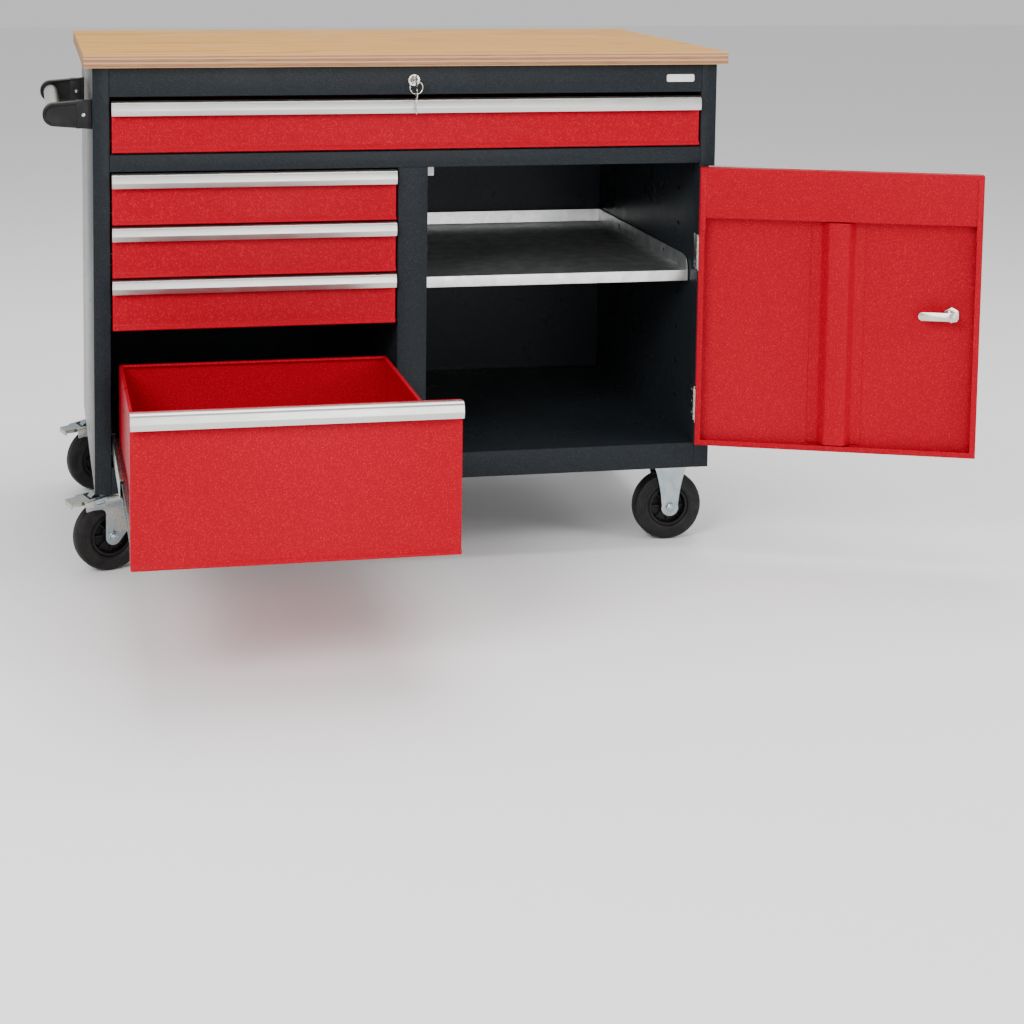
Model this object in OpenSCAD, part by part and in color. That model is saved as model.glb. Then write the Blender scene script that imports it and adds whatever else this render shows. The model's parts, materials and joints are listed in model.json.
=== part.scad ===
// Mobile steel workbench: full-width drawer, bank of four drawers, cupboard with
// shelf and hinged door, push handle, two braked swivel and two fixed casters.
// Front faces -Y, left is -X, the floor is Z = 0.

/* [Carcass] */
// Width of the steel carcass
cab_w = 1080; // [1000:10:1200]
// Depth of the steel carcass
cab_d = 615; // [580:5:680]
// Height of the steel carcass
cab_h = 720; // [680:5:780]
// Thickness of carcass sheet
sheet = 1.5; // [1:0.1:2]
// Width of each side post
post_w = 28; // [22:1:35]
// Width of the centre post
mid_post_w = 52; // [44:2:70]
// Depth of the centre post returns
mid_return = 18; // [14:1:20]
// Depth of the side post returns
post_return = 30; // [24:1:36]
// Height of the top rail
rail_top_h = 49; // [44:1:60]
// Height of the rail below the top drawer
rail_mid_h = 29; // [24:1:36]
// Height of the bottom rail
rail_bottom_h = 45; // [40:1:60]
// Depth of the rail returns
rail_return = 20; // [15:1:26]
// Height of the opening for the top drawer
top_open_h = 96; // [94:1:110]

/* [Worktop] */
// Thickness of the plywood worktop
top_t = 22; // [18:1:40]
// Overhang at each side
top_side = 15; // [10:1:40]
// Overhang at the front
top_front = 15; // [5:1:30]
// Overhang at the rear
top_rear = 20; // [5:1:40]

/* [Drawers] */
// Height of a shallow drawer front with its grip
small_h = 86; // [80:1:92]
// Gap around fronts and door
gap = 3; // [2:0.5:4]
// Sheet of drawers and door
skin = 1.2; // [0.8:0.1:1.5]
// Depth of folded edges on drawer fronts
fold_d = 18; // [14:1:20]
// Room behind the closed drawer boxes
box_room = 52; // [20:2:110]
// How far the shallow box walls stay below the top of their front
small_box_drop = 26; // [22:1:36]
// How far the deep box walls stay below the top of their front
deep_box_drop = 68; // [40:1:110]
// Clearance from drawer box to opening at each side
slide_room = 14; // [13:0.5:16]
// How far short of its full travel the deep drawer stands
deep_short = 0; // [0:5:480]
// How far the lower lip of a front stands out
lip_out = 5; // [3:0.5:7]
// Height of the lower lip of a front
lip_h = 9; // [7:0.5:12]

/* [Grip strips] */
// Height of the aluminium grip strip
grip_h = 24; // [18:1:28]
// How far the grip strip stands out
grip_out = 12; // [9:0.5:14]
// Wall of the grip strip
grip_t = 1.6; // [1.2:0.1:2]

/* [Door] */
// Angle the door stands open
door_open = 160; // [0:1:164]
// Depth of the door pan
door_d = 20; // [16:1:22]
// Height of the top stiffening channel
channel_h = 88; // [60:2:120]
// Width of the hat-shaped stiffener over its flanges
hat_w = 92; // [80:2:110]
// Distance from free edge to lock axis
lock_inset = 46; // [42:1:54]
// Reach of the cam from its axis
cam_reach = 58; // [56:1:62]
// Hinge barrel radius
barrel_r = 4; // [3.5:0.1:4.2]
// Hinge pin radius
pin_r = 1.5; // [1.2:0.1:2]
// Hinge height
hinge_h = 60; // [50:1:80]

/* [Shelf] */
// Height of the shelf above the cupboard floor
shelf_z = 303; // [120:5:380]
// Height of the shelf upstands
shelf_up = 25; // [15:1:40]
// Height of the turned-down front lip
shelf_lip = 20; // [15:1:30]

/* [Handle] */
// Spacing of the two handle brackets
handle_span = 430; // [300:10:460]
// Reach from side panel to tube axis
handle_reach = 62; // [50:1:80]
// Outside diameter of the tube
tube_d = 25; // [20:1:30]
// Distance of the tube below the carcass top
handle_drop = 80; // [60:1:140]

/* [Casters] */
// Wheel diameter
wheel_d = 125; // [110:1:132]
// Tyre width
tyre_w = 36; // [30:1:38]
// Room between the wheels and the carcass
caster_room = 23; // [23:1:40]
// Distance of the caster axis from the carcass edges
caster_inset = 54; // [52:1:64]
// Distance of the caster axis from front and rear
caster_in_y = 68; // [67:1:80]
// Offset of the wheel behind the swivel axis
trail = 30; // [28:1:36]
// Angle at which the swivel casters stand
swivel_rest = 18; // [0:1:30]

/* [Hidden] */
// Node to draw
$fn = 48;

// carcass planes
half_w = cab_w / 2;
front_y = -cab_d / 2;
rear_y = cab_d / 2;
caster_h = wheel_d + caster_room;
base_z = caster_h;
roof_z = base_z + cab_h;
in_x = half_w - post_w;
mid_x = mid_post_w / 2;
low_z = base_z + rail_bottom_h;
top_z = roof_z - rail_top_h - top_open_h;
high_z = top_z - rail_mid_h;
flange = 18;
wall_y = front_y + post_return;
back_in = rear_y - 2 * sheet;

// drawers and door
open_w = in_x - mid_x;
bank_x = -(in_x + mid_x) / 2;
small_pitch = small_h + gap;
deep_h = high_z - low_z - 3 * small_pitch - 2 * gap;
deep_z = low_z + gap;
lower_z = deep_z + deep_h + gap;
middle_z = lower_z + small_pitch;
upper_z = middle_z + small_pitch;
front_w = open_w - 2 * gap;
top_front_w = 2 * in_x - 2 * gap;
box_lift = 8;
box_d = cab_d - fold_d - box_room;
small_box_h = small_h - small_box_drop;
deep_box_h = deep_h - deep_box_drop;
hem = 6;
fold_h = 4;
grip_cap = 2;
run_len = box_d - 5;
run_y = wall_y + 2;
run_air = 0.8;
deep_open = run_len - deep_short;
bead_h = 16;
bead_z = 10;
bead_w = slide_room - 3;
bead_y0 = 20;
bead_y1 = box_d - 5;
small_slide_deep = 9.5;
deep_slide_deep = 10;
mid_x0 = 2;
mid_x1 = 9;
mid_in = 3;
run_x0 = 5;
run_in = 7;
slide_h = 35;
slide_z = 12;
rail_t = 1.2;

// door and hinges
door_x0 = mid_x + gap;
door_x1 = in_x - gap;
door_z0 = low_z + gap;
door_z1 = high_z - gap;
leaf_t = gap * 0.37;
hinge_x = in_x - gap / 2;
hinge_y = front_y - barrel_r - 0.5;
door_top_grip = 14;
door_rim = 10;
hat_slope = 12;
hat_foot = 17;
hinge_low = 70;
hinge_high = 154;
hinge_zs = [door_z0 + hinge_low, door_z1 - hinge_high];
knuckles = 5;
knuckle_gap = 0.2;
pin_air = 0.08;
lock_x = door_x0 + lock_inset;
lock_z = (door_z0 + door_z1) / 2;
lock_r = 8.5;
lock_cap_r = 10.5;
stud_r = 3;
cam_y = front_y + door_d + 5;
cam_t = 2;
cam_h = 15;
cam_tail = 8;
cam_nut_r = 6.5;
cam_nut_h = 5;
slot_h = 44;

// lock in the top rail
rail_lock_z = roof_z - rail_top_h / 2;
key_air = 0.08;
plug_r = 5;
plug_l = 16;
bow_r = 10;
blade_l = 25;
blade_h = 6;
key_t = 2;
key_hole_r = 3;
key_hole_y = front_y - 21;
ring_r = 11;
wire_r = 0.9;

// push handle
handle_ys = [front_y + 35, front_y + 35 + handle_span];
handle_z = roof_z - handle_drop;
bracket_t = 28;
bracket_r = tube_d / 2 + 6.5;
foot_r = bracket_r + 5;
tube_end = 3;
tube_fit = 0.05;
tube_wall = 1.5;
screw_seat = -30;

// casters
wheel_r = wheel_d / 2;
axle_r = 5;
run_fit = 0.08;
hub_over = 2;
hub_w = tyre_w + 2 * hub_over;
leg_air = 1;
leg_y = hub_w / 2 + leg_air;
leg_t = 2.5;
plate_t = 3;
plate_x = 105;
plate_y = 85;
bolt_dx = 40;
bolt_dy = 30;
bolt_r = 4;
bolt_air = 0.2;
nut_r = 7.5;
nut_h = 5;
race_r = 31;
race_h = 8;
race_step = 2.5;
head_t = 3;
race_air = 0.4;
head_z = caster_h - plate_t - race_h - race_air;
tyre_wall = 26;
rim_r = wheel_r - tyre_wall;
tyre_fit = 0.1;
boss_r = 14;
fork_fit = 0.02;
stud_head_r = 10;
bore_r = 6;
pedal_pin_r = 3;
brake_tilt = 9;
pedal_air = 0.6;
pedal_drop = 13.5;
pedal_t = 1.6;
pedal_back = 14;
pedal_front = 24;
pedal_low = 6;
pedal_high = 12;
tab_w = 17;
tab_reach = 36;

coat = [0.21, 0.23, 0.25];
red = [0.78, 0.04, 0.06];
alu = [0.78, 0.79, 0.79];
zinc = [0.72, 0.76, 0.76];
black = [0.09, 0.09, 0.09];
rubber = [0.13, 0.13, 0.13];
wood = [0.80, 0.66, 0.46];

// box between two corners
module span(x0, x1, y0, y1, z0, z1) {
    translate([x0, y0, z0]) cube([x1 - x0, y1 - y0, z1 - z0]);
}

// profile drawn in Y and Z, pushed along X from x0 to x1
module along_x(x0, x1) {
    translate([x0, 0, 0]) rotate([90, 0, 90]) linear_extrude(x1 - x0) children();
}

// profile drawn in X and Z, pushed along Y from y0 to y1
module along_y(y0, y1) {
    translate([0, y1, 0]) rotate([90, 0, 0]) linear_extrude(y1 - y0) children();
}

// cylinder along Y
module rod_y(r, y0, y1, fn = 48) {
    translate([0, y1, 0]) rotate([90, 0, 0]) cylinder(r = r, h = y1 - y0, $fn = fn);
}

module both_sides() {
    children();
    mirror([1, 0, 0]) children();
}

// ---- carcass ----

module worktop() {
    color(wood)
    difference() {
        span(-half_w - top_side, half_w + top_side, front_y - top_front,
            rear_y + top_rear, roof_z, roof_z + top_t);
        for (sx = [-1, 1], sz = [0, 1])
            translate([sx * (half_w + top_side), 0, roof_z + sz * top_t])
            rotate([0, 45, 0]) cube([1, 2 * cab_d, 1], center = true);
    }
}

// outer side wall, front post face, return and flanges from one sheet
module side_sheet() {
    span(-half_w, -half_w + sheet, front_y, rear_y, base_z, roof_z);
    span(-half_w, -in_x, front_y, front_y + sheet, base_z, roof_z);
    span(-in_x - sheet, -in_x, front_y, wall_y, base_z, roof_z);
    span(-half_w, -half_w + flange, back_in, back_in + sheet, base_z, roof_z);
    span(-half_w, -in_x, front_y, back_in, roof_z - sheet, roof_z);
}

module side_left() {
    color(coat) difference() {
        side_sheet();
        for (hy = handle_ys) translate([-half_w, hy, handle_z]) rotate([0, 90, 0])
            cylinder(r = bolt_r + bolt_air, h = 3 * sheet, center = true);
    }
}

module side_right() {
    color(coat) mirror([1, 0, 0]) side_sheet();
}

slot_w = 14;
slot_t = 5;
slot_n = 7;
slot_edge = 60;
slot_step = (high_z - low_z - 2 * slot_edge) / (slot_n - 1);
slot_ys = [front_y + 110, rear_y - 90];
clip_t = 2;
clip_w = slot_w - 2;
clip_out = 12;
clip_z = low_z + shelf_z - skin - clip_t;

// punched slots for the shelf clips, cut along X
module wall_slots() {
    for (sy = slot_ys) {
        for (i = [0:slot_n - 1]) translate([0, sy, low_z + slot_edge + i * slot_step])
            cube([6 * sheet, slot_w, slot_t], center = true);
        translate([0, sy, clip_z + clip_t / 2]) cube([6 * sheet, slot_w, slot_t], center = true);
    }
}

module liner() {
    lin_top = roof_z - 2 * sheet;
    difference() {
        span(-in_x - sheet, -in_x, wall_y, back_in, low_z, lin_top);
        translate([-in_x - sheet / 2, 0, 0]) wall_slots();
    }
    span(-half_w + sheet, -in_x, wall_y, back_in, lin_top - sheet, lin_top);
}

module side_liners() {
    color(coat) both_sides() liner();
}

module centre_post() {
    color(coat) {
        span(-mid_x, mid_x, front_y, front_y + sheet, low_z, high_z);
        both_sides() span(mid_x - sheet, mid_x, front_y, front_y + mid_return, low_z, high_z);
    }
}

// face with an upper and a lower return
module rail(z0, z1, deep) {
    span(-in_x, in_x, front_y, front_y + sheet, z0, z1);
    span(-in_x, in_x, front_y, front_y + deep, z1 - sheet, z1);
    span(-in_x, in_x, front_y, front_y + deep, z0, z0 + sheet);
}

module rail_top() {
    color(coat) difference() {
        rail(roof_z - rail_top_h, roof_z, rail_return);
        translate([0, 0, rail_lock_z]) rod_y(lock_r + key_air, front_y - 1, front_y + 2 * sheet);
    }
}

module rail_mid() {
    color(coat) rail(high_z, top_z, rail_return);
}

module rail_bottom() {
    color(coat) difference() {
        rail(base_z, low_z, rail_return);
        both_sides() caster_holes();
    }
}

module back_panel() {
    color(coat) {
        span(-half_w + sheet, half_w - sheet, rear_y - sheet, rear_y, base_z, roof_z);
        span(-in_x, in_x, rear_y - flange, rear_y, roof_z - sheet, roof_z);
    }
}

// folded pan whose lower flanges carry the casters
module floor_panel() {
    pan_x = half_w - sheet;
    foot = 2 * caster_inset;
    color(coat) {
        span(-in_x, in_x, front_y + rail_return, back_in, low_z - sheet, low_z);
        both_sides() {
            span(-pan_x, -in_x, wall_y, back_in - sheet, low_z - sheet, low_z);
            span(-pan_x, -pan_x + sheet, wall_y, back_in - sheet, base_z, low_z);
            difference() {
                span(-pan_x, -pan_x + foot, wall_y, back_in - sheet, base_z, base_z + sheet);
                caster_holes();
            }
            span(-pan_x + foot - sheet, -pan_x + foot, wall_y, back_in - sheet, base_z, low_z);
        }
    }
}

// double wall between drawer bank and cupboard, folded from one sheet
module partition() {
    part_y = front_y + mid_return;
    color(coat) difference() {
        union() {
            both_sides() span(mid_x - sheet, mid_x, part_y, back_in, low_z, high_z);
            span(-mid_x, mid_x, back_in - sheet, back_in, low_z, high_z);
        }
        translate([mid_x - sheet / 2, 0, 0]) wall_slots();
        span(mid_x - 2 * sheet, mid_x + sheet, part_y - 1, cam_y + 12,
            lock_z - slot_h / 2, lock_z + slot_h / 2);
    }
}

module dust_panel() {
    color(coat) {
        span(-in_x, in_x, front_y + rail_return, back_in, high_z, high_z + sheet);
        span(-in_x, in_x, back_in - sheet, back_in, high_z, high_z + flange);
    }
}

// ---- shelf ----

shelf_x0 = mid_x + 2;
shelf_x1 = in_x - 2;
shelf_y0 = front_y + 45;
shelf_y1 = rear_y - 12;
shelf_top = low_z + shelf_z;
lip_fold = 12;

module shelf_upstand() {
    along_x(0, skin)
        polygon([[shelf_y0 + 2, shelf_top - skin], [shelf_y1, shelf_top - skin],
            [shelf_y1, shelf_top + shelf_up], [shelf_y0 + 24, shelf_top + shelf_up],
            [shelf_y0 + 8, shelf_top + shelf_up - 5], [shelf_y0 + 2, shelf_top + 6]]);
}

module shelf() {
    color(zinc) {
        span(shelf_x0, shelf_x1, shelf_y0, shelf_y1, shelf_top - skin, shelf_top);
        span(shelf_x0, shelf_x1, shelf_y0, shelf_y0 + skin, shelf_top - shelf_lip, shelf_top);
        span(shelf_x0, shelf_x1, shelf_y0, shelf_y0 + lip_fold, shelf_top - shelf_lip,
            shelf_top - shelf_lip + skin);
        span(shelf_x0, shelf_x1, shelf_y1 - skin, shelf_y1, shelf_top - skin,
            shelf_top + shelf_up);
        translate([shelf_x0, 0, 0]) shelf_upstand();
        translate([shelf_x1 - skin, 0, 0]) shelf_upstand();
    }
}

// flat hooks through the wall slots, the shelf rests on them
module shelf_clips() {
    color(zinc)
    for (sy = slot_ys, side = [0, 1]) {
        wall_x = side == 0 ? mid_x - 2 * sheet : in_x - clip_out;
        translate([wall_x, sy - clip_w / 2, clip_z])
            cube([clip_out + 2 * sheet, clip_w, clip_t]);
    }
}

// ---- slides ----

// outer channel of a slide, web against the wall at x = 0, open towards +X
module outer_channel(h, deep) {
    span(0, rail_t, 0, run_len, 0, h);
    span(0, deep, 0, run_len, 0, rail_t);
    span(0, deep, 0, run_len, h - rail_t, h);
}

module small_channel() {
    outer_channel(bead_h + 2 * (rail_t + run_air), small_slide_deep);
}

module slide_pair(cx, w) {
    translate([cx - w / 2, 0, 0]) children();
    translate([cx + w / 2, 0, 0]) mirror([1, 0, 0]) children();
}

small_slide_z = box_lift + bead_z - rail_t - run_air;

module slides_outer() {
    color(zinc) {
        for (z = [lower_z, middle_z, upper_z])
            translate([0, run_y, z + small_slide_z]) slide_pair(bank_x, open_w) small_channel();
        translate([0, run_y, top_z + gap + small_slide_z])
            slide_pair(0, 2 * in_x) small_channel();
        translate([0, run_y, deep_z + slide_z])
            slide_pair(bank_x, open_w) outer_channel(slide_h, deep_slide_deep);
    }
}

module deep_mids() {
    color(zinc)
    translate([0, run_y - deep_open / 2, deep_z + slide_z]) slide_pair(bank_x, open_w) {
        span(mid_x0, mid_x0 + rail_t, 0, run_len, mid_in, slide_h - mid_in);
        span(mid_x0, mid_x1, 0, run_len, mid_in, mid_in + rail_t);
        span(mid_x0, mid_x1, 0, run_len, slide_h - mid_in - rail_t, slide_h - mid_in);
    }
}

module deep_runners() {
    color(zinc)
    translate([0, run_y - deep_open, deep_z + slide_z]) slide_pair(bank_x, open_w) {
        span(slide_room - rail_t, slide_room, 0, run_len, run_in, slide_h - run_in);
        span(run_x0, slide_room, 0, run_len, run_in, run_in + rail_t);
        span(run_x0, slide_room, 0, run_len, slide_h - run_in - rail_t, slide_h - run_in);
    }
}

// ---- drawers ----

// folded front sheet, outer face at y = 0, bottom at z = 0, centred in X
module front_sheet(w, h) {
    slope = (lip_h - 3) / lip_out;
    fall = skin * sqrt(1 + slope * slope);
    t = h - grip_cap;
    along_x(-w / 2, w / 2)
        polygon([[0, t], [0, lip_h], [-lip_out, 3], [-lip_out, 0], [fold_d, 0], [fold_d, skin],
            [-lip_out + skin, skin], [-lip_out + skin, 3 + skin * slope - fall],
            [skin, lip_h + skin * slope - fall], [skin, t - skin], [fold_d, t - skin],
            [fold_d, t]]);
    both_sides() span(w / 2 - skin, w / 2, 0, fold_d, 0, t);
}

// extruded grip strip, top at z = 0, front sheet face at y = 0
module grip_strip(x0, x1) {
    along_x(x0, x1)
        polygon([[hem, 0], [-grip_out * 0.17, 0], [-grip_out * 0.5, -grip_h * 0.05],
            [-grip_out * 0.75, -grip_h * 0.17], [-grip_out * 0.85, -grip_h * 0.33],
            [-grip_out, -grip_h * 0.71], [-grip_out * 0.8, -grip_h],
            [-grip_out * 0.8 + grip_t * 0.9, -grip_h + grip_t * 0.4],
            [-grip_out + grip_t, -grip_h * 0.71],
            [-grip_out * 0.85 + grip_t, -grip_h * 0.36],
            [-grip_out * 0.75 + grip_t, -grip_h * 0.24],
            [-grip_out * 0.5 + grip_t * 0.5, -grip_h * 0.05 - grip_t * 1.2],
            [-grip_t, -grip_cap - grip_t * 0.6], [-grip_t, -grip_h * 0.8],
            [0, -grip_h * 0.8], [0, -grip_cap], [hem, -grip_cap]]);
}

// open-top box, front wall at y = 0, centred in X, with folded top edges
module box_sheet(w, h, beads) {
    out = w / 2 + bead_w;
    difference() {
        union() {
            span(-w / 2, w / 2, 0, box_d, 0, h);
            if (beads) span(-out, out, bead_y0, bead_y1, bead_z, bead_z + bead_h);
        }
        span(-w / 2 + skin, w / 2 - skin, skin, box_d - skin, skin, h + 1);
        if (beads)
            span(-out + skin, out - skin, bead_y0 + skin, bead_y1 - skin,
                bead_z + skin, bead_z + bead_h - skin);
    }
    difference() {
        span(-w / 2, w / 2, 0, box_d, h - fold_h, h);
        span(-w / 2 + hem, w / 2 - hem, hem, box_d - hem, h - fold_h - 1, h + 1);
        span(-w / 2 + skin, w / 2 - skin, skin, box_d - skin, h - fold_h - 1, h - skin);
    }
}

module bank_at(z, out = 0) {
    translate([bank_x, front_y - out, z]) children();
}

module small_box()
    translate([0, fold_d, box_lift]) box_sheet(open_w - 2 * slide_room, small_box_h, true);
module small_front() front_sheet(front_w, small_h);
module small_grip() translate([0, 0, small_h]) grip_strip(-front_w / 2, front_w / 2);
module top_at() translate([0, front_y, top_z + gap]) children();

module top_box() color(red) top_at()
    translate([0, fold_d, box_lift]) box_sheet(2 * (in_x - slide_room), small_box_h, true);
module top_front_panel() color(red) top_at() front_sheet(top_front_w, small_h);
module top_grip() color(alu) top_at()
    translate([0, 0, small_h]) grip_strip(-top_front_w / 2, top_front_w / 2);
module upper_box() color(red) bank_at(upper_z) small_box();
module upper_front() color(red) bank_at(upper_z) small_front();
module upper_grip() color(alu) bank_at(upper_z) small_grip();
module middle_box() color(red) bank_at(middle_z) small_box();
module middle_front() color(red) bank_at(middle_z) small_front();
module middle_grip() color(alu) bank_at(middle_z) small_grip();
module lower_box() color(red) bank_at(lower_z) small_box();
module lower_front() color(red) bank_at(lower_z) small_front();
module lower_grip() color(alu) bank_at(lower_z) small_grip();
module deep_box() color(red) bank_at(deep_z, deep_open)
    translate([0, fold_d, box_lift]) box_sheet(open_w - 2 * slide_room, deep_box_h, false);
module deep_front() color(red) bank_at(deep_z, deep_open) front_sheet(front_w, deep_h);
module deep_grip() color(alu) bank_at(deep_z, deep_open)
    translate([0, 0, deep_h]) grip_strip(-front_w / 2, front_w / 2);

// ---- door ----

// turns parts drawn for the closed door to the angle the door stands at
module door_pose() {
    translate([hinge_x, hinge_y, 0]) rotate([0, 0, door_open])
        translate([-hinge_x, -hinge_y, 0]) children();
}

module door_skin() {
    z1 = door_z1 - grip_cap;
    rim = door_rim;
    color(red) door_pose() difference() {
        span(door_x0, door_x1, front_y, front_y + door_d, door_z0, z1);
        span(door_x0 + skin, door_x1 - skin, front_y + skin, front_y + door_d - skin,
            door_z0 + skin, z1 - skin);
        span(door_x0 + rim, door_x1 - rim, front_y + door_d - 2 * skin, front_y + door_d + 1,
            door_z0 + rim, z1 - rim);
        translate([lock_x, 0, lock_z]) rod_y(lock_r + key_air, front_y - 1, front_y + 2 * skin);
    }
}

module door_channel() {
    z1 = door_z1 - grip_cap;
    inner = door_rim + 2;
    color(red) door_pose() {
        span(door_x0, door_x1, front_y + door_d, front_y + door_d + skin, z1 - channel_h, z1);
        span(door_x0 + inner, door_x1 - inner, front_y + skin, front_y + door_d,
            z1 - channel_h, z1 - channel_h + skin);
    }
}

module door_stiffener() {
    cx = (door_x0 + door_x1) / 2;
    base = hat_w / 2;
    foot = base - hat_foot;
    crown = foot - hat_slope;
    y0 = front_y + skin;
    y1 = front_y + door_d - skin;
    color(red) door_pose()
    translate([0, 0, door_z0 + 11]) linear_extrude(door_z1 - door_z0 - channel_h - 15)
        polygon([[cx - base, y0], [cx - foot + skin, y0], [cx - crown + skin, y1 - skin],
            [cx + crown - skin, y1 - skin], [cx + foot - skin, y0], [cx + base, y0],
            [cx + base, y0 + skin], [cx + foot, y0 + skin], [cx + crown, y1],
            [cx - crown, y1], [cx - foot, y0 + skin], [cx - base, y0 + skin]]);
}

module door_grip() {
    color(alu) door_pose() translate([0, front_y, door_z1])
        grip_strip(door_x0, door_x1 - door_top_grip);
}

knuckle_h = hinge_h / knuckles;

// knuckles with numbers in the list and the leaf that joins them
module leaf(list, x0, x1, outer) {
    for (z = hinge_zs) {
        zb = z - hinge_h / 2;
        difference() {
            union() {
                for (i = list) translate([hinge_x, hinge_y, zb + i * knuckle_h + knuckle_gap / 2])
                    cylinder(r = barrel_r, h = knuckle_h - knuckle_gap);
                for (i = list)
                    span(x0, x1, hinge_y, front_y + 1, zb + i * knuckle_h + knuckle_gap / 2,
                        zb + (i + 1) * knuckle_h - knuckle_gap / 2);
                span(x0, x1, front_y + 0.3, front_y + door_d - 1, zb, zb + hinge_h);
            }
            translate([hinge_x, hinge_y, zb - 1])
                cylinder(r = pin_r + (outer ? 0 : pin_air), h = hinge_h + 2);
        }
        if (outer) translate([hinge_x, hinge_y, zb]) cylinder(r = pin_r, h = hinge_h);
    }
}

module door_leaves() color(zinc) door_pose() leaf([1, 3], door_x1, door_x1 + leaf_t, false);

module hinge_leaves() color(zinc) leaf([0, 2, 4], in_x - leaf_t, in_x, true);

module door_lock() {
    color(zinc) door_pose() translate([lock_x, 0, lock_z]) {
        rod_y(lock_cap_r, front_y - 2.5, front_y);
        rod_y(lock_r, front_y, cam_y - 0.2);
        rod_y(stud_r, cam_y - 1, cam_y + cam_t + cam_nut_h + 2);
        rod_y(14, front_y + skin, front_y + skin + 4, 6);
    }
}

module door_cam() {
    color(zinc) door_pose() translate([lock_x, 0, lock_z]) difference() {
        union() {
            along_y(cam_y, cam_y + cam_t) {
                translate([-cam_tail, -cam_h / 2])
                    square([cam_reach + cam_tail - cam_h / 2, cam_h]);
                translate([cam_reach - cam_h / 2, 0]) circle(r = cam_h / 2);
            }
            rod_y(cam_nut_r, cam_y + cam_t, cam_y + cam_t + cam_nut_h, 6);
        }
        rod_y(stud_r + run_fit, cam_y - 1, cam_y + cam_t + cam_nut_h + 1);
    }
}

// ---- lock and keys in the top rail ----

module lock_body() {
    color(zinc) translate([0, 0, rail_lock_z]) difference() {
        union() {
            rod_y(lock_cap_r, front_y - 3, front_y);
            rod_y(lock_r, front_y, front_y + plug_l + 1);
        }
        rod_y(plug_r + key_air, front_y - 4, front_y + plug_l - 2);
    }
}

// blade and round bow lying in the vertical plane of the key
module key_blank(y0) {
    translate([0, y0, 0]) {
        translate([-key_t / 2, 0, -blade_h / 2]) cube([key_t, blade_l, blade_h]);
        translate([-key_t / 2, 0, 0]) rotate([0, 90, 0]) difference() {
            translate([0, -bow_r + 2, 0]) cylinder(r = bow_r, h = key_t);
            translate([0, -bow_r, -1]) cylinder(r = key_hole_r, h = key_t + 2);
        }
    }
}

module key() {
    color(zinc) translate([0, 0, rail_lock_z]) {
        rod_y(plug_r, front_y - 3.5, front_y + plug_l - 3);
        key_blank(key_hole_y + bow_r);
    }
}

module key_ring() {
    color(zinc) translate([0, key_hole_y, rail_lock_z - ring_r]) {
        rotate([90, 0, 0]) rotate_extrude() translate([ring_r, 0]) circle(r = wire_r, $fn = 12);
        translate([0, 0, -ring_r]) rotate([-90, 0, 0]) key_blank(bow_r);
    }
}

// ---- push handle ----

module handle_brackets() {
    hx = -half_w - handle_reach;
    color(black)
    for (hy = handle_ys) difference() {
        along_y(hy - bracket_t / 2, hy + bracket_t / 2) {
            translate([hx, handle_z]) circle(r = bracket_r);
            polygon([[-half_w, handle_z - foot_r], [-half_w, handle_z + foot_r],
                [hx, handle_z + bracket_r], [hx, handle_z - bracket_r]]);
        }
        translate([hx, 0, handle_z])
            rod_y(tube_d / 2, handle_ys[0] - tube_end - 1, handle_ys[1] + tube_end + 1);
        translate([-half_w + screw_seat - 1, hy, handle_z]) rotate([0, 90, 0])
            cylinder(r = bolt_r + 0.3, h = 2 - screw_seat);
        translate([hx + tube_d / 2 - 2, hy, handle_z]) rotate([0, 90, 0])
            cylinder(r = nut_r + 0.5, h = handle_reach + screw_seat - tube_d / 2 + 2);
    }
}

module handle_tube() {
    color(alu) translate([-half_w - handle_reach, 0, handle_z]) difference() {
        rod_y(tube_d / 2 - tube_fit, handle_ys[0] - tube_end, handle_ys[1] + tube_end);
        rod_y(tube_d / 2 - tube_wall, handle_ys[0] - bracket_t, handle_ys[1] + bracket_t);
    }
}

// ---- casters ----

caster_xy = [[-half_w + caster_inset, front_y + caster_in_y],
    [-half_w + caster_inset, rear_y - caster_in_y],
    [half_w - caster_inset, front_y + caster_in_y],
    [half_w - caster_inset, rear_y - caster_in_y]];

// bolt holes of the two left casters, mirrored by the caller for the right
module caster_holes() {
    for (c = [caster_xy[0], caster_xy[1]], dx = [-1, 1], dy = [-1, 1])
        translate([c[0] + dx * bolt_dx, c[1] + dy * bolt_dy, base_z - 10])
        cylinder(r = bolt_r + bolt_air, h = 20, $fn = 24);
}

module bolt_pattern() {
    for (dx = [-1, 1], dy = [-1, 1]) translate([dx * bolt_dx, dy * bolt_dy, 0]) children();
}

module plate() {
    difference() {
        translate([-plate_x / 2, -plate_y / 2, caster_h - plate_t])
            cube([plate_x, plate_y, plate_t]);
        bolt_pattern() translate([0, 0, caster_h - 10])
            cylinder(r = bolt_r + bolt_air, h = 20, $fn = 24);
    }
}

module caster_plates() {
    color(zinc)
    for (i = [0, 1]) translate([caster_xy[i][0], caster_xy[i][1], 0]) {
        plate();
        rotate_extrude() polygon([[0, caster_h - plate_t], [race_r, caster_h - plate_t],
            [race_r + 4, caster_h - plate_t - race_step],
            [race_r + 4, head_z + race_air + race_step],
            [race_r, head_z + race_air], [bore_r, head_z + race_air],
            [bore_r, head_z - head_t - 2], [stud_head_r, head_z - head_t - 2],
            [stud_head_r, head_z - head_t - 5], [0, head_z - head_t - 5]]);
    }
}

// local frame of swivel caster i: swivel axis at the origin, wheel towards -X
module swivel_pose(i) {
    translate([caster_xy[i][0], caster_xy[i][1], 0]) rotate([0, 0, swivel_rest]) children();
}

module axle_pose() translate([-trail, 0, wheel_r]) children();

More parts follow.
